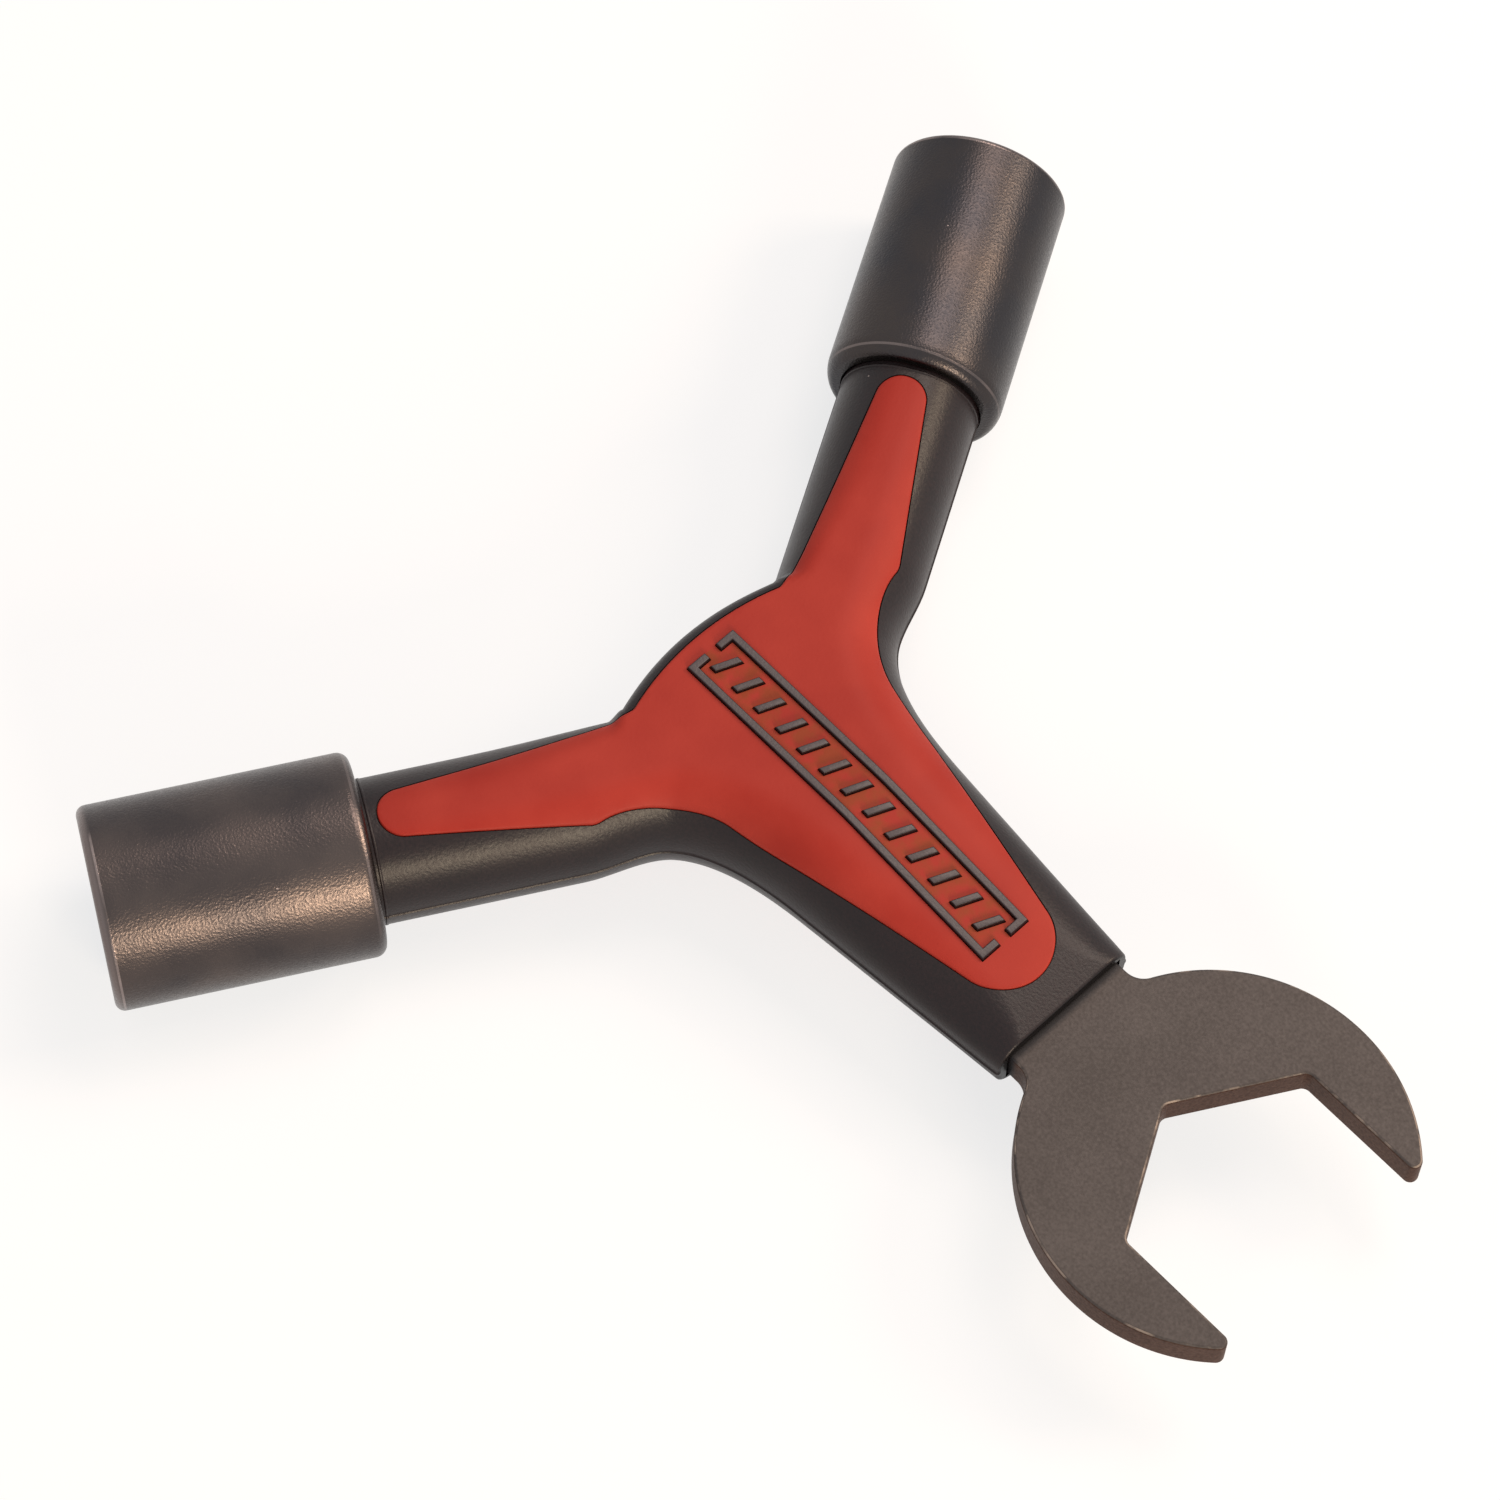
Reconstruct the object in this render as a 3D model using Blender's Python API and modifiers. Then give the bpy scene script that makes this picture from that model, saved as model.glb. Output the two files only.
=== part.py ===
"""Three-way skate tool: two nut sockets and an open jaw, held by one moulded three-armed grip.

The tool lies in the X-Y plane with its front facing +Z. The jaw's arm runs along +X, the arm of
the axle-nut socket is turned 120 degrees from it, and the arm of the kingpin-nut socket 240
degrees. The three arms' axes meet above the origin, which lies on the back panel.
All lengths are in metres.
"""

from collections import namedtuple
from math import atan2, cos, pi, radians, sin, sqrt, tan

import bmesh
import bpy
from mathutils import Matrix, Vector

# Nuts that the tool turns, across their flats
jaw_nut = 0.0238
kingpin_nut = 0.0143
axle_nut = 0.0127
nut_play = 0.0001

# Directions of the two socket arms
axle_turn = radians(120)
kingpin_turn = radians(240)

# Gaps between the steel and the plastic, and between the black and the red plastic
steel_gap = 0.0003
shot_gap = 0.00015

# Jaw plate, stamped steel, with a tang inside the grip
plate_thickness = 0.0038
plate_edge_round = 0.0003
neck_width = 0.0140
neck_fillet = 0.0022
neck_bare_length = 0.00115
prong_width = 0.0067
jaw_offset = 0.00685
jaw_tip_radius = 0.0008
jaw_corner_radius = 0.0005
tang_start = 0.0100
tang_corner_radius = 0.0015
anchor_hole_radius = 0.0025
anchor_place_shares = (0.2, 0.63)

# Shanks of the sockets: hexagonal bars inside the arms, with a groove that the plastic fills
shank_radius = 0.0046
shank_end = 0.0165
groove_place = 0.0245
groove_width = 0.0030
groove_depth = 0.0015

# Sockets: turned outside, hexagonal hole at the mouth, recess at the rear for the arm's end
socket_rear = 0.0410
socket_length = 0.0258
socket_wall = 0.00145
mouth_round = 0.0005
mouth_chamfer = 0.0001
rear_round = 0.0011
axle_rear_round_length = 0.0020
kingpin_rear_round_length = 0.0012
rear_rim = 0.0003
recess_play = 0.0005
recess_depth = 0.0016
hex_depth = 0.0150
relief_length = 0.0040
relief_radius_share = 0.8

# Grip: round socket arms, a hub, and a flatter arm that holds the jaw plate
shank_cover = 0.0023
plate_cover = 0.0014
plate_side_cover = 0.0014
hub_reach = 0.0150
hub_bulge = 0.00172
hub_edge_round = 0.0021
hub_edge_drop = 0.0024
step_length = 0.0024
neck_length = 0.0065
neck_width_share = 0.9
jaw_arm_end = 0.0360
jaw_arm_root = 0.0115
jaw_arm_root_width = 0.0211
slope_start = 0.0095
slope_ease = 0.0015
end_edge_round = 0.0005
side_round = 0.0062
side_round_share = 0.92
jaw_arm_end_round = 0.0030
jaw_arm_end_drop_share = 0.8
wall_lean_share = 0.06
fillet_pull_share = 0.65

# Red panels, one in a pocket on each side of the grip
pocket_depth = 0.0010
panel_proud = 0.00012
panel_tip_margin = 0.00345
panel_tip_width = 0.0084
panel_root_margin = 0.00194
panel_crook_share = 0.2975
panel_crook_round_share = 0.92
panel_arm_margin = 0.0026
panel_arm_tip_left_share = 0.355
panel_arm_tip_right_share = 0.287
panel_back_inset = 0.0018
round_tip_share = 0.49

# Corners of a panel beside an arm, right of its axis and then left of it: place along the arm
# in hub reaches, place across it in arm radii, rounded share of the shorter side that ends there
panel_right_shares = ((1.34, -0.655, 0.06),)
panel_left_shares = ((1.147, 0.680, 0.60), (0.943, 0.797, 0.22))

# Raised frame and grip ribs of the black plastic, which stand up through the front panel
bar_proud = 0.00055
bar_width = 0.0010
bar_root = 0.0003
frame_width = 0.0059
frame_break = 0.0014
frame_back_margin = 0.0019
frame_tip_margin = 0.00445
rib_count = 13
rib_thickness = 0.0009
rib_margin = 0.00075
rib_slant = radians(22)

# How finely round shapes are divided, and how far a cutter runs past what it cuts
section_steps = 6
jaw_arm_stations = 4
hub_side_stations = 6
hub_stations = 7
step_stations = 3
neck_stations = 2
arm_stations = 2
end_round_steps = 2
turned_steps = 48
hexagon_steps = 6
quarter_steps = 10
least_steps = 3
head_steps = 36
edge_round_steps = 2
overrun = 0.002
merge_distance = 0.000001
flat_angle = radians(0.5)
sharp_angle = radians(35)

half = 0.5
quarter_turn = pi / 2
twelfth_turn = radians(30)

# Sizes that follow from the ones above
arm_radius = shank_radius + shank_cover
arm_end = socket_rear + recess_depth - steel_gap
socket_mouth = socket_rear + socket_length
hub_back = hub_reach * half + arm_radius * cos(twelfth_turn) + hub_bulge
mid_height = arm_radius + panel_proud
cutter_height = arm_radius + overrun
step_end = hub_reach + step_length
neck_end = hub_reach + neck_length
jaw_arm_end_width = neck_width + 2 * plate_side_cover
jaw_arm_end_height = plate_thickness * half + plate_cover
jaw_half_width = (jaw_nut + nut_play) * half
head_radius = jaw_half_width + prong_width
panel_tip = jaw_arm_end - panel_tip_margin
panel_back = hub_back - panel_back_inset
frame_start = frame_back_margin - panel_back
frame_end = panel_tip - frame_tip_margin
rib_height = frame_width - 2 * (bar_width + rib_margin)

# One section of the grip: point on the arm's axis, half thickness there, point of the outline
# beside it, length of the round towards the outline, and height of that round
Station = namedtuple("Station", "spine height edge rounding drop")


def empty_scene():
    for item in list(bpy.data.objects):
        bpy.data.objects.remove(item, do_unlink=True)


def collection(name):
    made = bpy.data.collections.new(name)
    bpy.context.scene.collection.children.link(made)
    return made


def linear(hex_colour):
    """Scene-linear colour of an sRGB hex colour."""
    parts = [int(hex_colour[place:place + 2], 16) / 255 for place in (0, 2, 4)]
    return [part / 12.92 if part <= 0.04045 else ((part + 0.055) / 1.055) ** 2.4 for part in parts] + [1.0]


def material(name, hex_colour, roughness, metallic):
    made = bpy.data.materials.new(name)
    made.use_nodes = True
    shader = made.node_tree.nodes["Principled BSDF"]
    shader.inputs["Base Color"].default_value = linear(hex_colour)
    shader.inputs["Roughness"].default_value = roughness
    shader.inputs["Metallic"].default_value = metallic
    return made


def mesh_from(bm, name):
    bmesh.ops.recalc_face_normals(bm, faces=bm.faces)
    mesh = bpy.data.meshes.new(name)
    bm.to_mesh(mesh)
    bm.free()
    return mesh


def add_object(name, mesh, home, parent):
    made = bpy.data.objects.new(name, mesh)
    home.objects.link(made)
    made.parent = parent
    if home.name == "cutters":
        made.hide_render = True
        made.display_type = "WIRE"
    return made


def combine(item, tool, operation, solver="EXACT"):
    step = item.modifiers.new(operation.lower() + " " + tool.name, "BOOLEAN")
    step.operation = operation
    step.object = tool
    step.solver = solver


def finish_part(item, finish):
    item.data.materials.append(finish)
    item.data.shade_smooth()
    item.data.set_sharp_from_angle(angle=sharp_angle)


def mix(start, end, share):
    return start + (end - start) * share


def soft_share(value):
    """The value between 0 and 1, with a soft start and end."""
    value = min(max(value, 0.0), 1.0)
    return value * value * (3 - 2 * value)


def even(start, end, steps):
    return [mix(start, end, step / steps) for step in range(steps + 1)]


def on_arm(turn, along, across):
    """Plan point at a distance along an arm's axis and to the left of it."""
    return Matrix.Rotation(turn, 2) @ Vector((along, across))


def mirrored(points):
    """The points mirrored across the X axis, in reverse order."""
    return [Vector((point.x, -point.y)) for point in reversed(points)]


def arc(centre, radius, start, end, steps):
    return [centre + radius * Vector((cos(angle), sin(angle))) for angle in even(start, end, steps)]


def hexagon_radius(across_flats):
    return across_flats * half / cos(twelfth_turn)


def corner_half_angle(before, corner, after):
    return (before - corner).angle(after - corner) * half


def rounded(before, corner, after, radius):
    """The arc that rounds the corner between two straight sides."""
    way_in = (before - corner).normalized()
    way_out = (after - corner).normalized()
    half_angle = corner_half_angle(before, corner, after)
    centre = corner + (way_in + way_out).normalized() * (radius / sin(half_angle))
    start = corner + way_in * (radius / tan(half_angle)) - centre
    end = corner + way_out * (radius / tan(half_angle)) - centre
    first = atan2(start.y, start.x)
    turn = atan2(start.cross(end), start.dot(end))
    steps = max(least_steps, round(quarter_steps * abs(turn) / quarter_turn))
    return arc(centre, radius, first, first + turn, steps)


def rounded_outline(corners):
    """Closed outline through corners, each given with the share of its shorter side that it rounds."""
    points = [point for point, share in corners]
    outline = []
    for place, (corner, share) in enumerate(corners):
        before = points[place - 1]
        after = points[(place + 1) % len(points)]
        if share:
            reach = share * min((before - corner).length, (after - corner).length)
            outline += rounded(before, corner, after, reach * tan(corner_half_angle(before, corner, after)))
        else:
            outline.append(corner)
    return outline


def grown(points, distance):
    """A closed outline, anticlockwise, with each side moved out by the distance."""
    moved = []
    for before, point, after in zip(points[-1:] + points[:-1], points, points[1:] + points[:1]):
        side_in = (point - before).normalized()
        side_out = (after - point).normalized()
        normal = Vector((side_in.y + side_out.y, -side_in.x - side_out.x)).normalized()
        moved.append(point + normal * (distance / normal.dot(Vector((side_in.y, -side_in.x)))))
    return moved


def plan_prism(name, outlines, low, high, home, parent):
    """A solid with flat ends whose sides follow closed plan outlines."""
    curve = bpy.data.curves.new(name, "CURVE")
    curve.dimensions = "2D"
    curve.fill_mode = "BOTH"
    curve.extrude = (high - low) * half
    for outline in outlines:
        spline = curve.splines.new("POLY")
        spline.points.add(len(outline) - 1)
        for knot, point in zip(spline.points, outline):
            knot.co = (point.x, point.y, 0.0, 1.0)
        spline.use_cyclic_u = True
    drawn = add_object(name + " outline", curve, home, None)
    bpy.context.view_layer.update()
    drawn_mesh = bpy.data.meshes.new_from_object(drawn.evaluated_get(bpy.context.evaluated_depsgraph_get()))
    bpy.data.objects.remove(drawn)
    bpy.data.curves.remove(curve)
    bm = bmesh.new()
    bm.from_mesh(drawn_mesh)
    bpy.data.meshes.remove(drawn_mesh)
    bmesh.ops.remove_doubles(bm, verts=bm.verts, dist=merge_distance)
    bmesh.ops.dissolve_limit(bm, angle_limit=flat_angle, verts=bm.verts, edges=bm.edges)
    bmesh.ops.translate(bm, verts=bm.verts, vec=(0.0, 0.0, (high + low) * half))
    return add_object(name, mesh_from(bm, name), home, parent)


def turned(name, profile, steps, home, parent):
    """A solid turned about its own Z axis from a profile of radii and heights, top to bottom."""
    bm = bmesh.new()
    knots = [bm.verts.new((radius, 0.0, height)) for radius, height in profile]
    for knot, following in zip(knots, knots[1:]):
        bm.edges.new((knot, following))
    mesh = bpy.data.meshes.new(name)
    bm.to_mesh(mesh)
    bm.free()
    made = add_object(name, mesh, home, parent)
    screw = made.modifiers.new("turn", "SCREW")
    screw.axis = "Z"
    screw.steps = steps
    screw.render_steps = steps
    screw.use_merge_vertices = True
    screw.merge_threshold = merge_distance
    return made


def jaw_arm_height(along):
    """Half thickness of the grip on the jaw arm's axis: level, then an even slope."""
    fall = (arm_radius - jaw_arm_end_height) / (jaw_arm_end - slope_start)
    past = along - slope_start
    if abs(past) < slope_ease:
        return arm_radius - fall * (past + slope_ease) ** 2 / (4 * slope_ease)
    return arm_radius - fall * max(past, 0.0)


def arm_places():
    """Where a socket arm has sections, from the hub's middle to the arm's end."""
    return (even(0.0, hub_reach, hub_stations)
            + even(hub_reach, step_end, step_stations)[1:]
            + even(step_end, neck_end, neck_stations)[1:]
            + even(neck_end, arm_end, arm_stations)[1:])


def hub_fillet(share):
    """Point of the curve that joins the jaw arm's left side to the right side of the axle arm."""
    root = Vector((jaw_arm_root, jaw_arm_root_width * half))
    end = Vector((jaw_arm_end, jaw_arm_end_width * half))
    neck = on_arm(axle_turn, hub_reach, -arm_radius * neck_width_share)
    run = (root - end).normalized()
    arm_way = on_arm(axle_turn, 1.0, 0.0)
    corner = root + run * ((neck - root).cross(arm_way) / run.cross(arm_way))
    first = mix(root, corner, fillet_pull_share)
    second = mix(neck, corner, fillet_pull_share)
    rest = 1 - share
    return (root * rest ** 3 + first * (3 * rest ** 2 * share)
            + second * (3 * rest * share ** 2) + neck * share ** 3)


def back_arc(corner, reach, steps):
    """The arc behind the hub, from the X axis at a reach behind the origin to a corner."""
    rise = reach + corner.x
    radius = (rise ** 2 + corner.y ** 2) / (2 * rise)
    sweep = atan2(corner.y, radius - rise)
    return arc(Vector((radius - reach, 0.0)), radius, pi, pi - sweep, steps)


def jaw_arm_sections():
    """Sections of the jaw arm's left side from its end to its root, with the end's edge rounded."""
    sections = []
    for along in even(jaw_arm_end, jaw_arm_root, jaw_arm_stations):
        share = (along - jaw_arm_root) / (jaw_arm_end - jaw_arm_root)
        width = mix(jaw_arm_root_width, jaw_arm_end_width, share)
        height = jaw_arm_height(along)
        sections.append(Station(Vector((along, 0.0)), height, Vector((along, width * half)),
                                mix(side_round, jaw_arm_end_round, share),
                                height * mix(1.0, jaw_arm_end_drop_share, share)))
    end = sections.pop(0)
    for angle in even(0.0, quarter_turn, end_round_steps):
        back = end_edge_round * (1 - sin(angle))
        inset = end_edge_round * (1 - cos(angle))
        sections.insert(0, Station(end.spine - Vector((back, 0.0)), end.height - inset,
                                   end.edge - Vector((back, inset)), end.rounding, end.drop - inset))
    return sections


def inner_side():
    """Sections from the jaw arm's end round the hub to the end of the axle socket's arm."""
    sections = jaw_arm_sections()
    fillet_run = jaw_arm_root + hub_reach
    for along in even(jaw_arm_root, 0.0, hub_side_stations)[1:-1]:
        edge = hub_fillet((jaw_arm_root - along) / fillet_run)
        height = jaw_arm_height(along)
        sections.append(Station(Vector((along, 0.0)), height, edge, side_round, height))
    for along in arm_places():
        spine = on_arm(axle_turn, along, 0.0)
        if along < hub_reach:
            edge = hub_fillet((jaw_arm_root + along) / fillet_run)
        else:
            widening = soft_share((along - hub_reach) / neck_length)
            edge = on_arm(axle_turn, along, -arm_radius * mix(neck_width_share, 1.0, widening))
        rounding = min(side_round, (edge - spine).length * side_round_share)
        sections.append(Station(spine, arm_radius, edge, rounding, arm_radius))
    return sections


def outer_side():
    """Sections from the hub's middle to the end of the axle socket's arm, on its outer side."""
    back = back_arc(on_arm(axle_turn, hub_reach, arm_radius), hub_back, hub_stations)
    sections = []
    for place, along in enumerate(arm_places()):
        spine = on_arm(axle_turn, along, 0.0)
        edge = back[place] if place < hub_stations else on_arm(axle_turn, along, arm_radius)
        share = soft_share((along - hub_reach) / step_length)
        sections.append(Station(spine, arm_radius, edge,
                                mix(hub_edge_round, arm_radius * side_round_share, share),
                                mix(hub_edge_drop, arm_radius, share)))
    return sections


def section_points(station, growth):
    """Points over the front, round the edge and back under the section to its axis."""
    run = station.edge - station.spine
    way = run.normalized()
    level = run.length - station.rounding
    rounding = station.rounding + growth
    wall = station.height - station.drop
    lean = wall * wall_lean_share
    front = [(0.0, station.height + growth)]
    for angle in even(0.0, quarter_turn, section_steps):
        front.append((level + (rounding - lean) * sin(angle), wall + (station.drop + growth) * cos(angle)))
    back = [(out, -up) for out, up in reversed(front)]
    outline = front + [(level + rounding, 0.0)] + back
    return [(station.spine + way * out).to_3d() + Vector((0.0, 0.0, up)) for out, up in outline]


def grip_form(name, growth, home, parent):
    """The grip's outer shape without its pockets, with every surface moved out by the growth."""
    bm = bmesh.new()
    upper = [[section_points(station, growth) for station in side] for side in (inner_side(), outer_side())]
    lower = [[[Vector((point.x, -point.y, point.z)) for point in row] for row in side] for side in upper]
    for side in upper + lower:
        rows = [[bm.verts.new(point) for point in row] for row in side]
        for row, following in zip(rows, rows[1:]):
            for corners in zip(row, row[1:], following[1:], following):
                bm.faces.new(corners)
    bmesh.ops.remove_doubles(bm, verts=bm.verts, dist=merge_distance)
    bmesh.ops.holes_fill(bm, edges=bm.edges, sides=0)
    return add_object(name, mesh_from(bm, name), home, parent)


def panel_corners(shares):
    return [(on_arm(axle_turn, hub_reach * along, arm_radius * across), share)
            for along, across, share in shares]


def panel_outline():
    """Closed plan outline of a red panel, anticlockwise. Its crook lies between two arms, where its
    side along the jaw arm meets a line beside the axle arm's axis."""
    arm_tip = arm_end - panel_arm_margin
    tip = Vector((panel_tip, panel_tip_width * half))
    root = Vector((jaw_arm_root, jaw_arm_root_width * half - panel_root_margin))
    run = root - tip
    beside = on_arm(axle_turn, 0.0, -arm_radius * panel_crook_share)
    arm_way = on_arm(axle_turn, 1.0, 0.0)
    crook = tip + run * ((beside - tip).cross(arm_way) / run.cross(arm_way))
    side = [(tip, round_tip_share), (crook, panel_crook_round_share)]
    side += panel_corners(panel_right_shares)
    side.append((on_arm(axle_turn, arm_tip, -arm_radius * panel_arm_tip_right_share), round_tip_share))
    side.append((on_arm(axle_turn, arm_tip, arm_radius * panel_arm_tip_left_share), round_tip_share))
    side += panel_corners(panel_left_shares)
    side += [(point, 0.0) for point in reversed(back_arc(side[-1][0], panel_back, least_steps)[:-1])]
    other_side = [(Vector((point.x, -point.y)), share) for point, share in reversed(side[:-1])]
    return rounded_outline(side + other_side)


def frame_outlines():
    """The two halves of the raised frame, parted at the middles of its short ends."""
    low = frame_break * half
    high = frame_width * half
    inner_start = frame_start + bar_width
    inner_end = frame_end - bar_width
    upper = [Vector(knot) for knot in (
        (frame_start, low), (inner_start, low), (inner_start, high - bar_width),
        (inner_end, high - bar_width), (inner_end, low), (frame_end, low),
        (frame_end, high), (frame_start, high))]
    return [upper, mirrored(upper)]


def rib_outlines():
    """Slanted ribs in an even row inside the frame."""
    spacing = (frame_end - frame_start - 2 * bar_width) / rib_count
    lean = tan(rib_slant) * rib_height * half
    side = rib_thickness * half
    top = rib_height * half
    ribs = []
    for count in range(rib_count):
        middle = frame_start + bar_width + spacing * (count + half)
        knots = ((-side - lean, -top), (side - lean, -top), (side + lean, top), (lean - side, top))
        ribs.append([Vector((middle + along, across)) for along, across in knots])
    return ribs


def plate_outline():
    """Closed plan outline of the jaw plate and its tang, anticlockwise from the jaw's inner corner."""
    neck = neck_width * half
    fillet_up = neck + neck_fillet
    fillet_run = sqrt((head_radius + neck_fillet) ** 2 - fillet_up ** 2)
    fillet = Vector((jaw_arm_end + neck_bare_length, fillet_up))
    head = Vector((fillet.x + fillet_run, 0.0))
    jaw_corner = Vector((head.x + jaw_offset - hexagon_radius(2 * jaw_half_width), 0.0))
    side_corner = Vector((head.x + jaw_offset - jaw_half_width * tan(twelfth_turn), jaw_half_width))
    tip_up = jaw_half_width + jaw_tip_radius
    tip_run = sqrt((head_radius - jaw_tip_radius) ** 2 - tip_up ** 2)
    tip_angle = atan2(tip_up, tip_run)
    fillet_angle = atan2(fillet_up, -fillet_run)
    tip = head + Vector((tip_run, tip_up))
    upper = rounded(jaw_corner, side_corner, Vector((tip.x, jaw_half_width)), jaw_corner_radius)
    upper += arc(tip, jaw_tip_radius, -quarter_turn, tip_angle, quarter_steps)
    upper += arc(head, head_radius, tip_angle, fillet_angle, head_steps)[1:]
    upper += arc(fillet, neck_fillet, fillet_angle - pi, -quarter_turn, quarter_steps)[1:]
    tang_end = Vector((tang_start, 0.0))
    upper += rounded(upper[-1], Vector((tang_start, neck)), tang_end, tang_corner_radius)
    lower_side_corner = Vector((side_corner.x, -side_corner.y))
    return rounded(lower_side_corner, jaw_corner, side_corner, jaw_corner_radius) + upper + mirrored(upper)


def tang_cavity_outline():
    """Plan outline of the space for the tang, open at the grip's end."""
    side = neck_width * half + steel_gap
    start = tang_start - steel_gap
    mouth = Vector((jaw_arm_end + overrun, side))
    upper = [mouth] + rounded(mouth, Vector((start, side)), Vector((start, 0.0)), tang_corner_radius + steel_gap)
    return upper + mirrored(upper)


def anchor_pins(name, radius, height, home, parent):
    """Round pins at the places of the tang's anchor holes."""
    pins = []
    for share in anchor_place_shares:
        pin = turned(f"{name} {share}", ((0.0, height), (radius, height), (radius, -height), (0.0, -height)),
                     turned_steps, home, parent)
        pin.location.x = mix(tang_start, jaw_arm_end, share)
        pins.append(pin)
    return pins


def shank(name, growth, top, home, parent):
    """A socket's hexagonal shank with its groove, every surface moved out by the growth."""
    radius = shank_radius + hexagon_radius(2 * growth)
    waist = radius - groove_depth
    groove_top = groove_place + groove_width - growth
    groove_low = groove_place + growth
    low = shank_end - growth
    profile = ((0.0, top), (radius, top), (radius, groove_top), (waist, groove_top),
               (waist, groove_low), (radius, groove_low), (radius, low), (0.0, low))
    return turned(name, profile, hexagon_steps, home, parent)


def red_panel(name, side, parts, cutters, parent, finish):
    """A red panel; side is 1 for the front and -1 for the back."""
    low, high = sorted((0.0, side * cutter_height))
    panel = plan_prism(name, [panel_outline()], low, high, parts, parent)
    outside = grip_form(name + " face", panel_proud, cutters, parent)
    inside = grip_form(name + " underside", shot_gap - pocket_depth, cutters, parent)
    combine(panel, outside, "INTERSECT")
    combine(panel, inside, "DIFFERENCE")
    finish_part(panel, finish)
    return panel


def pocket(name, side, cutters, parent):
    """What is cut from the grip for a red panel."""
    low, high = sorted((0.0, side * cutter_height))
    cut = plan_prism(name, [grown(panel_outline(), shot_gap)], low, high, cutters, parent)
    combine(cut, grip_form(name + " floor", -pocket_depth, cutters, parent), "DIFFERENCE")
    return cut


def raised_bars(cutters, parent):
    """The frame and ribs, rooted in the floor of the front pocket."""
    bars = plan_prism("bars", frame_outlines() + rib_outlines(), 0.0, cutter_height, cutters, parent)
    combine(bars, grip_form("bar tops", bar_proud, cutters, parent), "INTERSECT")
    combine(bars, grip_form("bar roots", -pocket_depth - bar_root, cutters, parent), "DIFFERENCE")
    return bars


def grip_body(parts, cutters, parent, arms, finish):
    body = grip_form("grip_body", 0.0, parts, parent)
    for name, side in (("front pocket", 1), ("back pocket", -1)):
        combine(body, pocket(name, side, cutters, parent), "DIFFERENCE")
    # At some hub sizes the exact solver leaves open edges round the bars' level tops and roots
    combine(body, raised_bars(cutters, parent), "UNION", "MANIFOLD")
    cavity_height = plate_thickness * half + steel_gap
    cavity = plan_prism("tang cavity", [tang_cavity_outline()], -cavity_height, cavity_height, cutters, parent)
    for pin in anchor_pins("anchor post", anchor_hole_radius - steel_gap, cutter_height, cutters, parent):
        combine(cavity, pin, "DIFFERENCE")
    combine(body, cavity, "DIFFERENCE")
    for arm in arms:
        combine(body, shank(arm.name + " cavity", steel_gap, arm_end + overrun, cutters, arm), "DIFFERENCE")
    finish_part(body, finish)


def front_inlay(parts, cutters, parent, finish):
    panel = red_panel("front_inlay", 1, parts, cutters, parent, finish)
    outlines = [grown(outline, shot_gap) for outline in frame_outlines() + rib_outlines()]
    combine(panel, plan_prism("windows", outlines, 0.0, cutter_height + overrun, cutters, parent), "DIFFERENCE")


def wrench_plate(parts, cutters, parent, finish):
    thickness = plate_thickness * half
    plate = plan_prism("wrench_plate", [plate_outline()], -thickness, thickness, parts, parent)
    bevel = plate.modifiers.new("worn edges", "BEVEL")
    bevel.width = plate_edge_round
    bevel.segments = edge_round_steps
    bevel.limit_method = "ANGLE"
    bevel.angle_limit = quarter_turn * half
    for hole in anchor_pins("anchor hole", anchor_hole_radius, cutter_height, cutters, parent):
        combine(plate, hole, "DIFFERENCE")
    finish_part(plate, finish)


def socket(name, nut, rear_round_length, parts, cutters, arm, finish):
    """A socket with its shank, along an arm; a flat of its hexagon faces up."""
    corner = hexagon_radius(nut + nut_play)
    recess = arm_radius + recess_play
    radius = max(corner + socket_wall, recess + rear_rim + rear_round)
    recess_floor = socket_rear + recess_depth
    profile = [(0.0, socket_mouth)]
    for angle in even(0.0, quarter_turn, least_steps):
        profile.append((radius - mouth_round * (1 - sin(angle)), socket_mouth - mouth_round * (1 - cos(angle))))
    for angle in even(0.0, quarter_turn, least_steps):
        profile.append((radius - rear_round * (1 - cos(angle)),
                        socket_rear + rear_round_length * (1 - sin(angle))))
    profile += [(recess, socket_rear), (recess, recess_floor), (0.0, recess_floor)]
    body = turned(name, profile, turned_steps, parts, arm)
    combine(body, shank(name + " shank", 0.0, recess_floor + overrun, cutters, arm), "UNION")
    above = socket_mouth + overrun
    bottom = socket_mouth - hex_depth
    relief = corner * relief_radius_share
    chamfer = corner + mouth_chamfer
    hexagon = turned(name + " hexagon", ((0.0, above), (corner, above), (corner, bottom), (0.0, bottom)),
                     hexagon_steps, cutters, arm)
    hexagon.rotation_euler.z = twelfth_turn
    low = bottom - relief_length
    bore = turned(name + " relief", ((0.0, above), (relief, above), (relief, low), (0.0, low)),
                  turned_steps, cutters, arm)
    cone = turned(name + " chamfer", ((0.0, above), (chamfer + overrun, above), (0.0, socket_mouth - chamfer)),
                  turned_steps, cutters, arm)
    for cut in (hexagon, bore, cone):
        combine(body, cut, "DIFFERENCE")
    finish_part(body, finish)


def arm_frame(name, turn, home, parent):
    """An empty whose Z axis runs out along an arm."""
    frame = add_object(name, None, home, parent)
    frame.rotation_euler = (0.0, quarter_turn, turn)
    return frame


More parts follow.
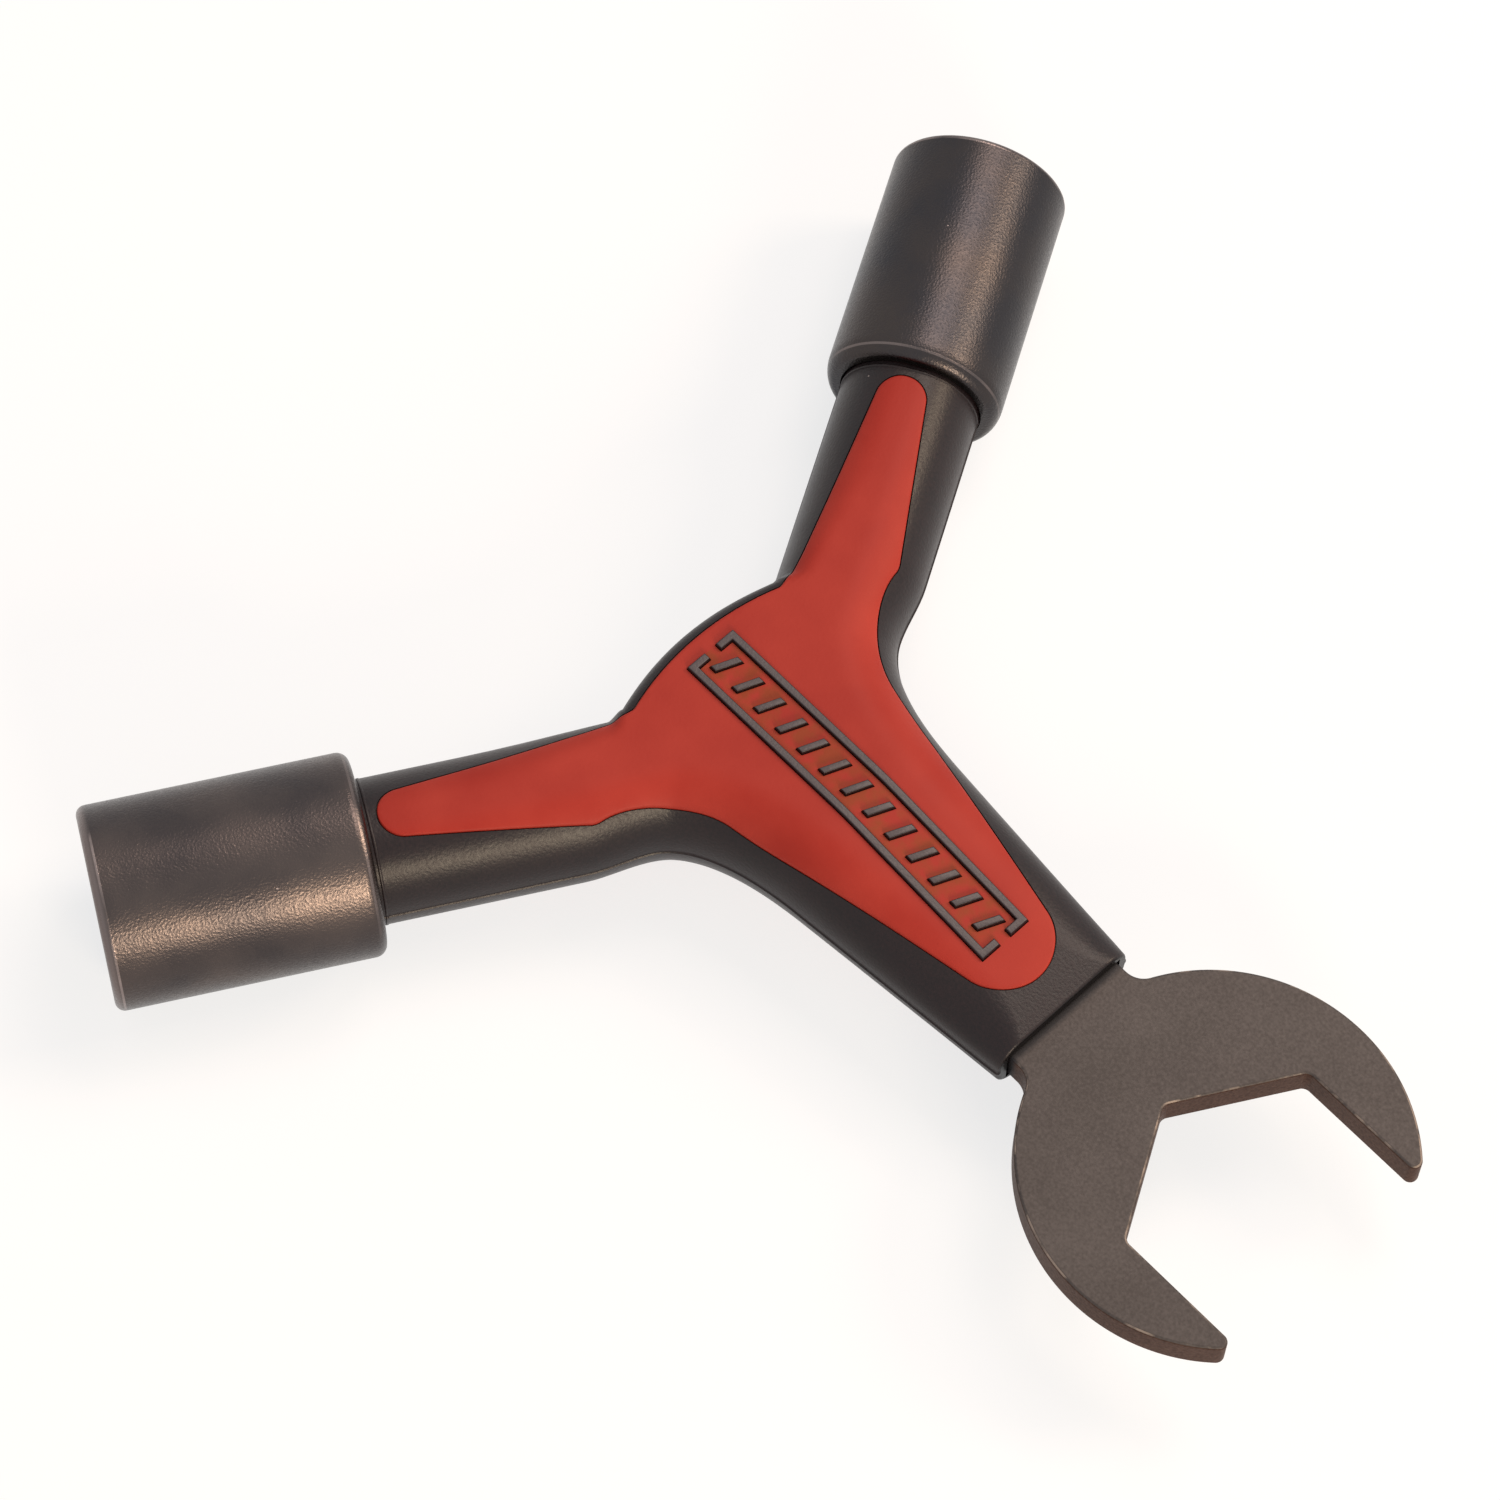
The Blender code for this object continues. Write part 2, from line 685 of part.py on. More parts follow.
def build():
    empty_scene()
    parts = collection("skate_tool")
    cutters = collection("cutters")
    middle = add_object("middle plane", None, parts, None)
    middle.location.z = mid_height
    axle_arm = arm_frame("axle arm", axle_turn, parts, middle)
    kingpin_arm = arm_frame("kingpin arm", kingpin_turn, parts, middle)
    black = material("black moulded nylon", "403C3D", 0.45, 0.0)
    red = material("red moulded nylon", "B23A30", 0.5, 0.0)
    plate_steel = material("phosphated plate steel", "625854", 0.55, 0.5)
    socket_steel = material("black oxide socket steel", "4B4643", 0.45, 0.8)
    grip_body(parts, cutters, middle, (axle_arm, kingpin_arm), black)
    front_inlay(parts, cutters, middle, red)
    red_panel("back_inlay", -1, parts, cutters, middle, red)
    wrench_plate(parts, cutters, middle, plate_steel)
    socket("axle_socket", axle_nut, axle_rear_round_length, parts, cutters, axle_arm, socket_steel)
    socket("kingpin_socket", kingpin_nut, kingpin_rear_round_length, parts, cutters, kingpin_arm, socket_steel)


build()
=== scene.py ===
from math import atan2, ceil, cos, pi, radians, sin, sqrt, tan

import bmesh
import bpy
from mathutils import Matrix, Vector
from mathutils.bvhtree import BVHTree


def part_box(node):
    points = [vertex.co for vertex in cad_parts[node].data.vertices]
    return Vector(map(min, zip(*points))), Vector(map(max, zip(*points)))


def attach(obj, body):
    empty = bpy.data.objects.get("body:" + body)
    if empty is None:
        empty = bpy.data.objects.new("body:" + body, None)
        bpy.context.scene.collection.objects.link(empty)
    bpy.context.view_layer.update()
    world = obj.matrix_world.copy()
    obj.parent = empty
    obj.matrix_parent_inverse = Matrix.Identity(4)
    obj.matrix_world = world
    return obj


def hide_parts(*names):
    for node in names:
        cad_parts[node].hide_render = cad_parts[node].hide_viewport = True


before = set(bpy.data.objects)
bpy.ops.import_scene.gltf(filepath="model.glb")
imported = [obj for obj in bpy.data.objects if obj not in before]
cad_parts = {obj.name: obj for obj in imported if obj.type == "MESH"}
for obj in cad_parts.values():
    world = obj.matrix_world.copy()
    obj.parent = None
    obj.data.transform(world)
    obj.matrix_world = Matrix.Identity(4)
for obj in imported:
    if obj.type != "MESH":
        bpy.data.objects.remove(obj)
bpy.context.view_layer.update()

# Looks of the three-way skate tool. The tool lies in the X-Y plane with its front facing +Z: the
# jaw's arm runs along +X, and the two socket arms are turned 120 and 240 degrees from it.
mm = 0.001
half = 0.5
quarter_turn = pi / 2
full_turn = 2 * pi
twelfth_turn = radians(30)

plate_low, plate_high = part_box("wrench_plate")
plate_thickness = plate_high.z - plate_low.z
middle = Vector((0.0, 0.0, (plate_high.z + plate_low.z) * half))

axle_turn = radians(120)
kingpin_turn = radians(240)

# Jaw plate
jaw_half_width = 11.95 * mm
prong_width = 6.7 * mm
neck_half_width = 7.0 * mm
neck_fillet = 2.2 * mm
neck_bare_length = 1.15 * mm
jaw_offset = 6.85 * mm
jaw_tip_radius = 0.8 * mm
jaw_corner_radius = 0.5 * mm
plate_edge_round = 0.3 * mm
tang_shown = 6 * mm

# Sockets
socket_rear = 41.0 * mm
socket_mouth = 66.8 * mm
axle_hexagon = 12.8 * mm
kingpin_hexagon = 14.4 * mm
socket_wall = 1.45 * mm
axle_mouth_round = 0.55 * mm
kingpin_mouth_round = 0.95 * mm
mouth_chamfer = 0.1 * mm
rear_round = 1.1 * mm
axle_rear_round_length = 2.0 * mm
kingpin_rear_round_length = 1.2 * mm
hexagon_depth = 15 * mm
relief_length = 4 * mm
relief_radius_share = 0.8
recess_play = 0.22 * mm
recess_depth = 1.6 * mm

# Grip
arm_radius = 6.9 * mm
arm_end = socket_rear + recess_depth - 0.3 * mm
hub_reach = 15.0 * mm
hub_bulge = 1.72 * mm
hub_back = hub_reach * half + arm_radius * cos(twelfth_turn) + hub_bulge
hub_edge_round = 2.1 * mm
hub_edge_drop = 2.4 * mm
step_length = 1.6 * mm
neck_length = 6.5 * mm
neck_width_share = 0.9
jaw_arm_end = 36.0 * mm
jaw_arm_root = 11.5 * mm
jaw_arm_root_width = 21.1 * mm
jaw_arm_end_width = 16.8 * mm
jaw_arm_end_height = 3.4 * mm
slope_start = 9.5 * mm
slope_ease = 1.5 * mm
end_edge_round = 0.35 * mm
side_round = 6.2 * mm
side_round_share = 0.92
shoulder_level_share = 0.45
shoulder_fade = 16 * mm
jaw_arm_end_round = 3.0 * mm
jaw_arm_round_power = 6
jaw_arm_end_drop_share = 0.8
wall_lean_share = 0.06
fillet_pull_share = 0.65
flash_proud = 0.12 * mm
flash_half_height = 0.11 * mm
mouth_gap = 0.3 * mm
lip_place = socket_rear - 0.45 * mm
lip_proud = 0.07 * mm
lip_half_length = 0.16 * mm

# Red panels and the raised bars of the front one
pocket_depth = 1.0 * mm
shot_gap = 0.15 * mm
window_gap = 0.07 * mm
seam_width = 0.05 * mm
groove_width = 0.12 * mm
groove_depth = 0.2 * mm
panel_proud = 0.12 * mm
panel_rim_round = 0.16 * mm
panel_tip = jaw_arm_end - 3.45 * mm
panel_tip_half_width = 4.2 * mm
panel_root_margin = 1.94 * mm
panel_arm_margin = 2.6 * mm
panel_back = hub_back - 1.8 * mm
panel_crook_share = 0.3027
# Corners beside the axle arm, as shares of the hub's reach and of the arm's radius
panel_inner_shoulder = (1.34, -0.655)
panel_outer_shoulder = (1.147, 0.680)
panel_back_corner = (0.943, 0.797)
panel_arm_sides = (-0.287, 0.355)
# How much of the shorter side at a corner is rounded
panel_end_round = 0.49
panel_crook_round = 0.92
panel_inner_round = 0.06
panel_outer_round = 0.60
panel_back_round = 0.22
bar_proud = 0.55 * mm
bar_width = 0.8 * mm
bar_round = 0.17 * mm
bar_root = 0.3 * mm
frame_half_width = 2.95 * mm
frame_break = 1.4 * mm
frame_start = 1.9 * mm - panel_back
frame_end = panel_tip - 4.45 * mm
rib_count = 13
rib_thickness = 0.78 * mm
rib_half_height = 1.3 * mm
rib_slant = radians(22)

# How finely the shapes are divided
section_steps = 18
arc_steps = 24
edge_round_steps = 4
jaw_arm_steps = 14
jaw_arm_end_steps = 5
hub_front_steps = 16
hub_steps = 20
shoulder_steps = 8
neck_steps = 6
arm_steps = 6
lip_steps = 8
panel_back_steps = 8
jaw_tip_steps = 12
jaw_head_steps = 96
neck_fillet_steps = 16
jaw_corner_steps = 8
socket_mouth_steps = 6
socket_rear_steps = 12
hexagon_sides = 6
grid_spacing = 0.6 * mm
bar_spacing = 1.5 * mm
turned_steps = 144
weld_distance = 0.001 * mm
sharp_angle = radians(35)
corner_angle = radians(20)
level_limit = 0.5
place_digits = 7
ray_height = 1.0
overrun = 2 * mm

# Lamps, room and paper
lamp_distance = 0.9
room_light = 0.39
paper_own_light = 0.75
paper_half_size = 3.0
paper_gap = 0.02 * mm


# Meshes

def soft_share(value):
    """The value between 0 and 1, with a soft start and end."""
    value = min(max(value, 0.0), 1.0)
    return value * value * (3 - 2 * value)


def mix(start, end, share):
    """The value at a share of the way from start to end."""
    return start + (end - start) * share


def even(start, end, steps):
    """Values at even steps from start to end, with both ends."""
    return [mix(start, end, step / steps) for step in range(steps + 1)]


def on_arm(turn, along, across):
    """Plan point at a distance along an arm's axis and to the left of it."""
    return Matrix.Rotation(turn, 3, "Z") @ Vector((along, across, 0.0))


def mirrored(points):
    """An outline's mirror image across the X axis, run the other way round."""
    return [Vector((point.x, -point.y, point.z)) for point in reversed(points)]


def new_object(name, bm):
    """An object made from a bmesh, which is used up."""
    mesh = bpy.data.meshes.new(name)
    bm.to_mesh(mesh)
    bm.free()
    made = bpy.data.objects.new(name, mesh)
    bpy.context.scene.collection.objects.link(made)
    return made


def apply_modifiers(item):
    """Gives an object the mesh that its modifiers make of it."""
    bpy.context.view_layer.update()
    evaluated = item.evaluated_get(bpy.context.evaluated_depsgraph_get())
    mesh = bpy.data.meshes.new_from_object(evaluated)
    item.modifiers.clear()
    item.data = mesh


def combine(item, tool, operation):
    """Joins, cuts or crosses two closed meshes, and removes the second."""
    step = item.modifiers.new(operation, "BOOLEAN")
    step.operation = operation
    step.object = tool
    step.solver = "EXACT"
    apply_modifiers(item)
    bpy.data.objects.remove(tool)


def place(bm, matrix):
    """Moves and turns a bmesh."""
    bmesh.ops.transform(bm, matrix=matrix, verts=bm.verts)


def drawn_face(bm, points):
    """A flat face through points in order."""
    corners = [bm.verts.new(point) for point in points]
    sides = [bm.edges.new(pair) for pair in zip(corners, corners[1:] + corners[:1])]
    return bmesh.ops.edgeloop_fill(bm, edges=sides)["faces"][0]


def place_key(point):
    """A point's rounded coordinates, by which its vertex is found again."""
    return tuple(round(value, place_digits) for value in point)


def rounded_face(bm, corners):
    """A flat face through corners, each given with the share of its shorter side that it rounds."""
    points = [point for point, share in corners]
    reaches = []
    for count, (point, share) in enumerate(corners):
        before = points[count - 1]
        after = points[(count + 1) % len(points)]
        reaches.append(share * min((before - point).length, (after - point).length))
    face = drawn_face(bm, points)
    knots = {place_key(vert.co): vert for vert in face.verts}
    for point, reach in zip(points, reaches):
        if reach:
            bmesh.ops.bevel(bm, geom=[knots[place_key(point)]], offset=reach, segments=arc_steps,
                            profile=0.5, affect="VERTICES", material=-1, clamp_overlap=False)


def back_arc(corner, reach, steps):
    """Points of the arc behind the hub, from the X axis at a reach behind it to a corner."""
    rise = reach + corner.x
    radius = (rise ** 2 + corner.y ** 2) / (2 * rise)
    sweep = atan2(corner.y, radius - rise)
    return [Vector((radius - reach + radius * cos(angle), radius * sin(angle), 0.0))
            for angle in even(pi, pi - sweep, steps)]


def by_hub(shares):
    """Plan point beside the axle arm, from shares of the hub's reach and of the arm's radius."""
    along, across = shares
    return on_arm(axle_turn, hub_reach * along, arm_radius * across)


def panel_face(bm):
    """The panel's outline: one side from its tip to the hub's back, and the same on the other."""
    arm_tip = arm_end - panel_arm_margin
    inner_share, outer_share = panel_arm_sides
    tip = Vector((panel_tip, panel_tip_half_width, 0.0))
    root = Vector((jaw_arm_root, jaw_arm_root_width * half - panel_root_margin, 0.0))
    crook_run = panel_tip + hub_reach * panel_crook_share
    crook = mix(tip, root, crook_run / (panel_tip - jaw_arm_root))
    back_corner = by_hub(panel_back_corner)
    side = [(tip, panel_end_round), (crook, panel_crook_round),
            (by_hub(panel_inner_shoulder), panel_inner_round),
            (on_arm(axle_turn, arm_tip, arm_radius * inner_share), panel_end_round),
            (on_arm(axle_turn, arm_tip, arm_radius * outer_share), panel_end_round),
            (by_hub(panel_outer_shoulder), panel_outer_round),
            (back_corner, panel_back_round)]
    back = back_arc(back_corner, panel_back, panel_back_steps)
    side += [(point, 0.0) for point in reversed(back[:-1])]
    other_side = [(Vector((point.x, -point.y, 0.0)), share) for point, share in reversed(side[:-1])]
    rounded_face(bm, side + other_side)


def bar_faces(bm):
    """Outlines of the raised frame, broken at its short ends, and of the slanted ribs in it."""
    low = frame_break * half
    inner = frame_half_width - bar_width
    start = frame_start + bar_width
    end = frame_end - bar_width
    upper = [Vector((along, across, 0.0)) for along, across in (
        (frame_start, low), (start, low), (start, inner), (end, inner), (end, low),
        (frame_end, low), (frame_end, frame_half_width), (frame_start, frame_half_width))]
    outlines = [upper, mirrored(upper)]
    spacing = (end - start) / rib_count
    lean = tan(rib_slant) * rib_half_height
    side = rib_thickness * half
    for count in range(rib_count):
        centre = start + spacing * (count + half)
        outlines.append([Vector((centre + along, across, 0.0)) for along, across in (
            (-side - lean, -rib_half_height), (side - lean, -rib_half_height),
            (side + lean, rib_half_height), (lean - side, rib_half_height))])
    for outline in outlines:
        drawn_face(bm, outline)


def raise_faces(bm, low, high, edge_round):
    """Turns flat faces into prisms from low to high, with rounded upper edges."""
    flat = bm.faces[:]
    bmesh.ops.recalc_face_normals(bm, faces=flat)
    for face in flat:
        if face.normal.z > 0:
            face.normal_flip()
    raised = bmesh.ops.extrude_face_region(bm, geom=flat, use_keep_orig=True)["geom"]
    top = [part for part in raised if isinstance(part, bmesh.types.BMVert)]
    bmesh.ops.translate(bm, verts=bm.verts, vec=(0.0, 0.0, low))
    bmesh.ops.translate(bm, verts=top, vec=(0.0, 0.0, high - low))
    bmesh.ops.recalc_face_normals(bm, faces=bm.faces)
    if edge_round:
        corners = set(top)
        rim = [edge for edge in bm.edges if set(edge.verts) <= corners
               and any(abs(face.normal.z) < level_limit for face in edge.link_faces)]
        bmesh.ops.bevel(bm, geom=rim, offset=edge_round, segments=edge_round_steps, profile=0.5,
                        affect="EDGES", material=-1, clamp_overlap=True)


def cut_grid(bm, spacing, both_ways):
    """Divides every face by planes across X, and across Y too where asked."""
    for axis in (0, 1) if both_ways else (0,):
        places = [vert.co[axis] / spacing - half for vert in bm.verts]
        normal = Vector((axis == 0, axis == 1, 0.0))
        for step in range(ceil(min(places)), ceil(max(places))):
            bmesh.ops.bisect_plane(bm, geom=bm.verts[:] + bm.edges[:] + bm.faces[:],
                                   dist=weld_distance, plane_no=normal,
                                   plane_co=normal * spacing * (step + half))


def drape(bm, surface):
    """Moves each point up or down with the grip's front surface above or below it."""
    down = Vector((0.0, 0.0, -1.0))
    for vert in bm.verts:
        above = Vector((vert.co.x, vert.co.y, ray_height))
        vert.co.z += surface.ray_cast(above, down)[0].z


def draped_piece(name, draw, surface, low, high, edge_round, spacing, both_ways):
    """A piece with a drawn outline between two heights, laid on the grip's front surface."""
    bm = bmesh.new()
    draw(bm)
    raise_faces(bm, low, high, edge_round)
    cut_grid(bm, spacing, both_ways)
    drape(bm, surface)
    return new_object(name, bm)


def grow(bm, width):
    """Moves the outlines of flat faces outwards."""
    faces = bm.faces[:]
    bmesh.ops.inset_region(bm, faces=faces, thickness=-width, use_boundary=True,
                           use_even_offset=True)
    bmesh.ops.delete(bm, geom=[face for face in bm.faces if face not in faces], context="FACES")


def grown(outline, width):
    """A function that draws an outline with its edges moved outwards."""
    def draw(bm):
        outline(bm)
        grow(bm, width)
    return draw


# Grip

def jaw_arm_height(along):
    """Half thickness of the grip on the jaw arm's axis: level, then an even slope."""
    fall = (arm_radius - jaw_arm_end_height) / (jaw_arm_end - slope_start)
    past = along - slope_start
    if abs(past) < slope_ease:
        return arm_radius - fall * (past + slope_ease) ** 2 / (4 * slope_ease)
    return arm_radius - fall * max(past, 0.0)


def hub_fillet(share):
    """Point of the curve that joins the jaw arm's left side to the right side of the axle arm."""
    root = Vector((jaw_arm_root, jaw_arm_root_width * half, 0.0))
    end = Vector((jaw_arm_end, jaw_arm_end_width * half, 0.0))
    neck = on_arm(axle_turn, hub_reach, -arm_radius * neck_width_share)
    run = (root - end).normalized()
    arm_way = on_arm(axle_turn, 1.0, 0.0)
    corner = root + run * ((neck - root).cross(arm_way).z / run.cross(arm_way).z)
    first = mix(root, corner, fillet_pull_share)
    second = mix(neck, corner, fillet_pull_share)
    rest = 1 - share
    return (root * rest ** 3 + first * (3 * rest ** 2 * share)
            + second * (3 * rest * share ** 2) + neck * share ** 3)


def section(bm, spine, height, edge, rounding, drop):
    """Edges of a quarter section: level from an arm's axis, then round down to the flash."""
    way = (edge - spine).normalized()
    level = (edge - spine).length - rounding
    wall = height - drop
    reach = rounding - wall * wall_lean_share
    places = [(0.0, height)]
    for angle in even(0.0, quarter_turn, section_steps):
        up = wall + drop * cos(angle)
        if up > flash_half_height:
            places.append((level + reach * sin(angle), up))
    places.append((level + rounding, flash_half_height))
    places.append((level + rounding + flash_proud, 0.0))
    knots = [bm.verts.new(spine + way * out + Vector((0.0, 0.0, up))) for out, up in places]
    return [bm.edges.new(pair) for pair in zip(knots, knots[1:])]


def jaw_arm_rows(bm):
    """Sections of the jaw arm, from its rounded end to its root."""
    rows = []
    for along in even(jaw_arm_end, jaw_arm_root, jaw_arm_steps):
        share = (along - jaw_arm_root) / (jaw_arm_end - jaw_arm_root)
        width = mix(jaw_arm_root_width, jaw_arm_end_width, share)
        height = jaw_arm_height(along)
        rounding = mix(side_round, jaw_arm_end_round, share ** jaw_arm_round_power)
        drop = height * mix(1.0, jaw_arm_end_drop_share, share)
        if along < jaw_arm_end:
            rows.append(section(bm, Vector((along, 0.0, 0.0)), height,
                                Vector((along, width * half, 0.0)), rounding, drop))
            continue
        for angle in reversed(even(0.0, quarter_turn, jaw_arm_end_steps)):
            back = end_edge_round * (1 - sin(angle))
            inset = end_edge_round * (1 - cos(angle))
            rows.append(section(bm, Vector((along - back, 0.0, 0.0)), height - inset,
                                Vector((along - back, width * half - inset, 0.0)),
                                rounding, drop - inset))
    return rows


def arm_places():
    """Where a socket arm has sections, from the hub's middle to the arm's end, and the arm's radius
    there. A small round lip runs round it before the socket, where the mould shut on the steel."""
    step_end = hub_reach + step_length
    neck_end = hub_reach + neck_length
    plain = (even(0.0, hub_reach, hub_steps)
             + even(hub_reach, step_end, shoulder_steps)[1:]
             + even(step_end, neck_end, neck_steps)[1:]
             + even(neck_end, lip_place - lip_half_length, arm_steps)[1:-1])
    lip = [(lip_place - lip_half_length * cos(angle), arm_radius + lip_proud * sin(angle))
           for angle in even(0.0, pi, lip_steps)]
    return [(along, arm_radius) for along in plain] + lip + [(arm_end, arm_radius)]


def inner_rows(bm):
    """Sections round the hub from the jaw arm's root to the end of the axle socket's arm."""
    rows = []
    fillet_run = jaw_arm_root + hub_reach
    for along in even(jaw_arm_root, 0.0, hub_front_steps)[1:-1]:
        height = jaw_arm_height(along)
        rows.append(section(bm, Vector((along, 0.0, 0.0)), height,
                            hub_fillet((jaw_arm_root - along) / fillet_run), side_round, height))
    for along, radius in arm_places():
        spine = on_arm(axle_turn, along, 0.0)
        if along < hub_reach:
            edge = hub_fillet((jaw_arm_root + along) / fillet_run)
        else:
            widening = soft_share((along - hub_reach) / neck_length)
            edge = on_arm(axle_turn, along, -radius * mix(neck_width_share, 1.0, widening))
        rows.append(section(bm, spine, radius, edge,
                            min(side_round, (edge - spine).length * side_round_share), radius))
    return rows


def outer_rows(bm):
    """Sections from the hub's middle to the end of the axle socket's arm, on its outer side."""
    back = back_arc(on_arm(axle_turn, hub_reach, arm_radius), hub_back, hub_steps)
    rows = []
    for count, (along, radius) in enumerate(arm_places()):
        spine = on_arm(axle_turn, along, 0.0)
        edge = back[count] if count < hub_steps else on_arm(axle_turn, along, radius)
        share = soft_share((along - hub_reach) / step_length)
        level_share = mix(shoulder_level_share, 1 - side_round_share,
                          soft_share((along - hub_reach) / shoulder_fade))
        rows.append(section(bm, spine, radius, edge,
                            mix(hub_edge_round, radius * (1 - level_share), share),
                            mix(hub_edge_drop, radius, share)))
    return rows


def grip_form():
    """The grip without its pockets, in a bmesh: sections bridged on one quarter, then mirrored."""
    bm = bmesh.new()
    for rows in (jaw_arm_rows(bm) + inner_rows(bm), outer_rows(bm)):
        for row, following in zip(rows, rows[1:]):
            bmesh.ops.bridge_loops(bm, edges=row + following)
    for axis in ("Z", "Y"):
        geometry = bm.verts[:] + bm.edges[:] + bm.faces[:]
        bmesh.ops.mirror(bm, geom=geometry, axis=axis, merge_dist=weld_distance)
    bmesh.ops.remove_doubles(bm, verts=bm.verts, dist=weld_distance)
    bmesh.ops.holes_fill(bm, edges=bm.edges, sides=0)
    bmesh.ops.recalc_face_normals(bm, faces=bm.faces)
    return bm


def tang_cavity():
    """The space in the grip's end that the jaw plate passes into."""
    bm = bmesh.new()
    bmesh.ops.create_cube(bm, size=1.0)
    length = tang_shown + overrun
    bmesh.ops.scale(bm, verts=bm.verts, vec=(length, 2 * (neck_half_width + mouth_gap),
                                             plate_thickness + 2 * mouth_gap))
    bmesh.ops.translate(bm, verts=bm.verts, vec=(jaw_arm_end + overrun - length * half, 0.0, 0.0))
    return new_object("tang cavity", bm)


def turned_over(item):
    """The object mirrored to the back of the tool."""
    bm = bmesh.new()
    bm.from_mesh(item.data)
    bmesh.ops.scale(bm, verts=bm.verts, vec=(1.0, 1.0, -1.0))
    bmesh.ops.reverse_faces(bm, faces=bm.faces)
    bm.to_mesh(item.data)
    bm.free()
    return item


def moulded_grip_and_panels():
    """The grip with its pockets, its raised bars and the slot for the plate, and the two panels."""
    form = grip_form()
    surface = BVHTree.FromBMesh(form)
    grip = new_object("moulded_grip", form)
    for width, depth in ((seam_width, pocket_depth), (groove_width, groove_depth)):
        pocket = ("pocket", grown(panel_face, width), surface, -depth, overrun, 0.0, grid_spacing,
                  True)
        combine(grip, draped_piece(*pocket), "DIFFERENCE")
        combine(grip, turned_over(draped_piece(*pocket)), "DIFFERENCE")
    bars = draped_piece("bars", bar_faces, surface, -pocket_depth - bar_root, bar_proud, bar_round,
                        bar_spacing, False)
    combine(grip, bars, "UNION")
    combine(grip, tang_cavity(), "DIFFERENCE")
    panel = (panel_face, surface, shot_gap - pocket_depth, panel_proud, panel_rim_round,
             grid_spacing, True)
    front = draped_piece("front_red_panel", *panel)
    back = turned_over(draped_piece("back_red_panel", *panel))
    windows = draped_piece("windows", grown(bar_faces, window_gap), surface, -2 * pocket_depth,
                           overrun, 0.0, bar_spacing, False)
    combine(front, windows, "DIFFERENCE")
    return grip, front, back


# Steel

def arc_to(bm, knot, centre, angle, steps):
    """Draws an arc in plan from a vertex about a centre, and returns its last vertex."""
    drawn = bmesh.ops.spin(bm, geom=[knot], cent=centre, axis=(0.0, 0.0, 1.0), angle=angle,
                           steps=steps)
    return next(part for part in drawn["geom_last"] if isinstance(part, bmesh.types.BMVert))


def line_to(bm, knot, point):
    """Draws a straight edge from a vertex to a point, and returns its new vertex."""
    drawn = bmesh.ops.extrude_vert_indiv(bm, verts=[knot])["verts"][0]
    drawn.co = point
    return drawn


def plate_outline(bm):
    """Half of the jaw plate's outline, from the jaw's inner corner round to the tang's end."""
    head_radius = jaw_half_width + prong_width
    fillet_up = neck_half_width + neck_fillet
    fillet_run = sqrt((head_radius + neck_fillet) ** 2 - fillet_up ** 2)
    fillet = Vector((jaw_arm_end + neck_bare_length, fillet_up, 0.0))
    head = Vector((fillet.x + fillet_run, 0.0, 0.0))
    jaw_middle = head.x + jaw_offset
    jaw_corner = Vector((jaw_middle - jaw_half_width / cos(twelfth_turn), 0.0, 0.0))
    side_corner = Vector((jaw_middle - jaw_half_width * tan(twelfth_turn), jaw_half_width, 0.0))
    tip_up = jaw_half_width + jaw_tip_radius
    tip_run = sqrt((head_radius - jaw_tip_radius) ** 2 - tip_up ** 2)
    tip = head + Vector((tip_run, tip_up, 0.0))
    tip_angle = atan2(tip_up, tip_run)
    fillet_angle = atan2(fillet_up, -fillet_run)
    knot = line_to(bm, bm.verts.new(jaw_corner), side_corner)
    knot = line_to(bm, knot, tip - Vector((0.0, jaw_tip_radius, 0.0)))
    knot = arc_to(bm, knot, tip, quarter_turn + tip_angle, jaw_tip_steps)
    knot = arc_to(bm, knot, head, fillet_angle - tip_angle, jaw_head_steps)
    knot = arc_to(bm, knot, fillet, -(fillet_angle - quarter_turn), neck_fillet_steps)
    line_to(bm, knot, Vector((jaw_arm_end - tang_shown, neck_half_width, 0.0)))


def stamped_jaw_plate():
    """The jaw plate with the start of its tang: a mirrored outline, with the jaw's corners rounded
    in plan and the sheared edges broken."""
    bm = bmesh.new()
    plate_outline(bm)
    bmesh.ops.mirror(bm, geom=bm.verts[:] + bm.edges[:], axis="Y", merge_dist=weld_distance)
    bmesh.ops.remove_doubles(bm, verts=bm.verts, dist=weld_distance)
    bm.edges.new([vert for vert in bm.verts if len(vert.link_edges) == 1])
    bmesh.ops.edgeloop_fill(bm, edges=bm.edges[:])
    neck_end = jaw_arm_end + neck_bare_length + neck_fillet
    corners = [vert for vert in bm.verts
               if abs(vert.co.y) < jaw_half_width + weld_distance and vert.co.x > neck_end
               and vert.calc_edge_angle(0.0) > corner_angle]
    for corner in corners:
        bmesh.ops.bevel(bm, geom=[corner], offset=jaw_corner_radius, segments=jaw_corner_steps,
                        profile=0.5, affect="VERTICES", material=-1)
    raise_faces(bm, -plate_thickness * half, plate_thickness * half, 0.0)
    rim = [edge for edge in bm.edges
           if abs(edge.verts[0].co.z - edge.verts[1].co.z) < weld_distance
           and any(abs(face.normal.z) > level_limit for face in edge.link_faces)]
    bmesh.ops.bevel(bm, geom=rim, offset=plate_edge_round, segments=edge_round_steps, profile=0.5,
                    affect="EDGES", material=-1, clamp_overlap=True)
    return new_object("stamped_jaw_plate", bm)


def ellipse_corner(centre, across, along, start, end, steps):
    """Points of a rounded corner: an ellipse's arc about a centre, between two angles."""
    return [(centre[0] + across * cos(angle), centre[1] + along * sin(angle))
            for angle in even(start, end, steps)]


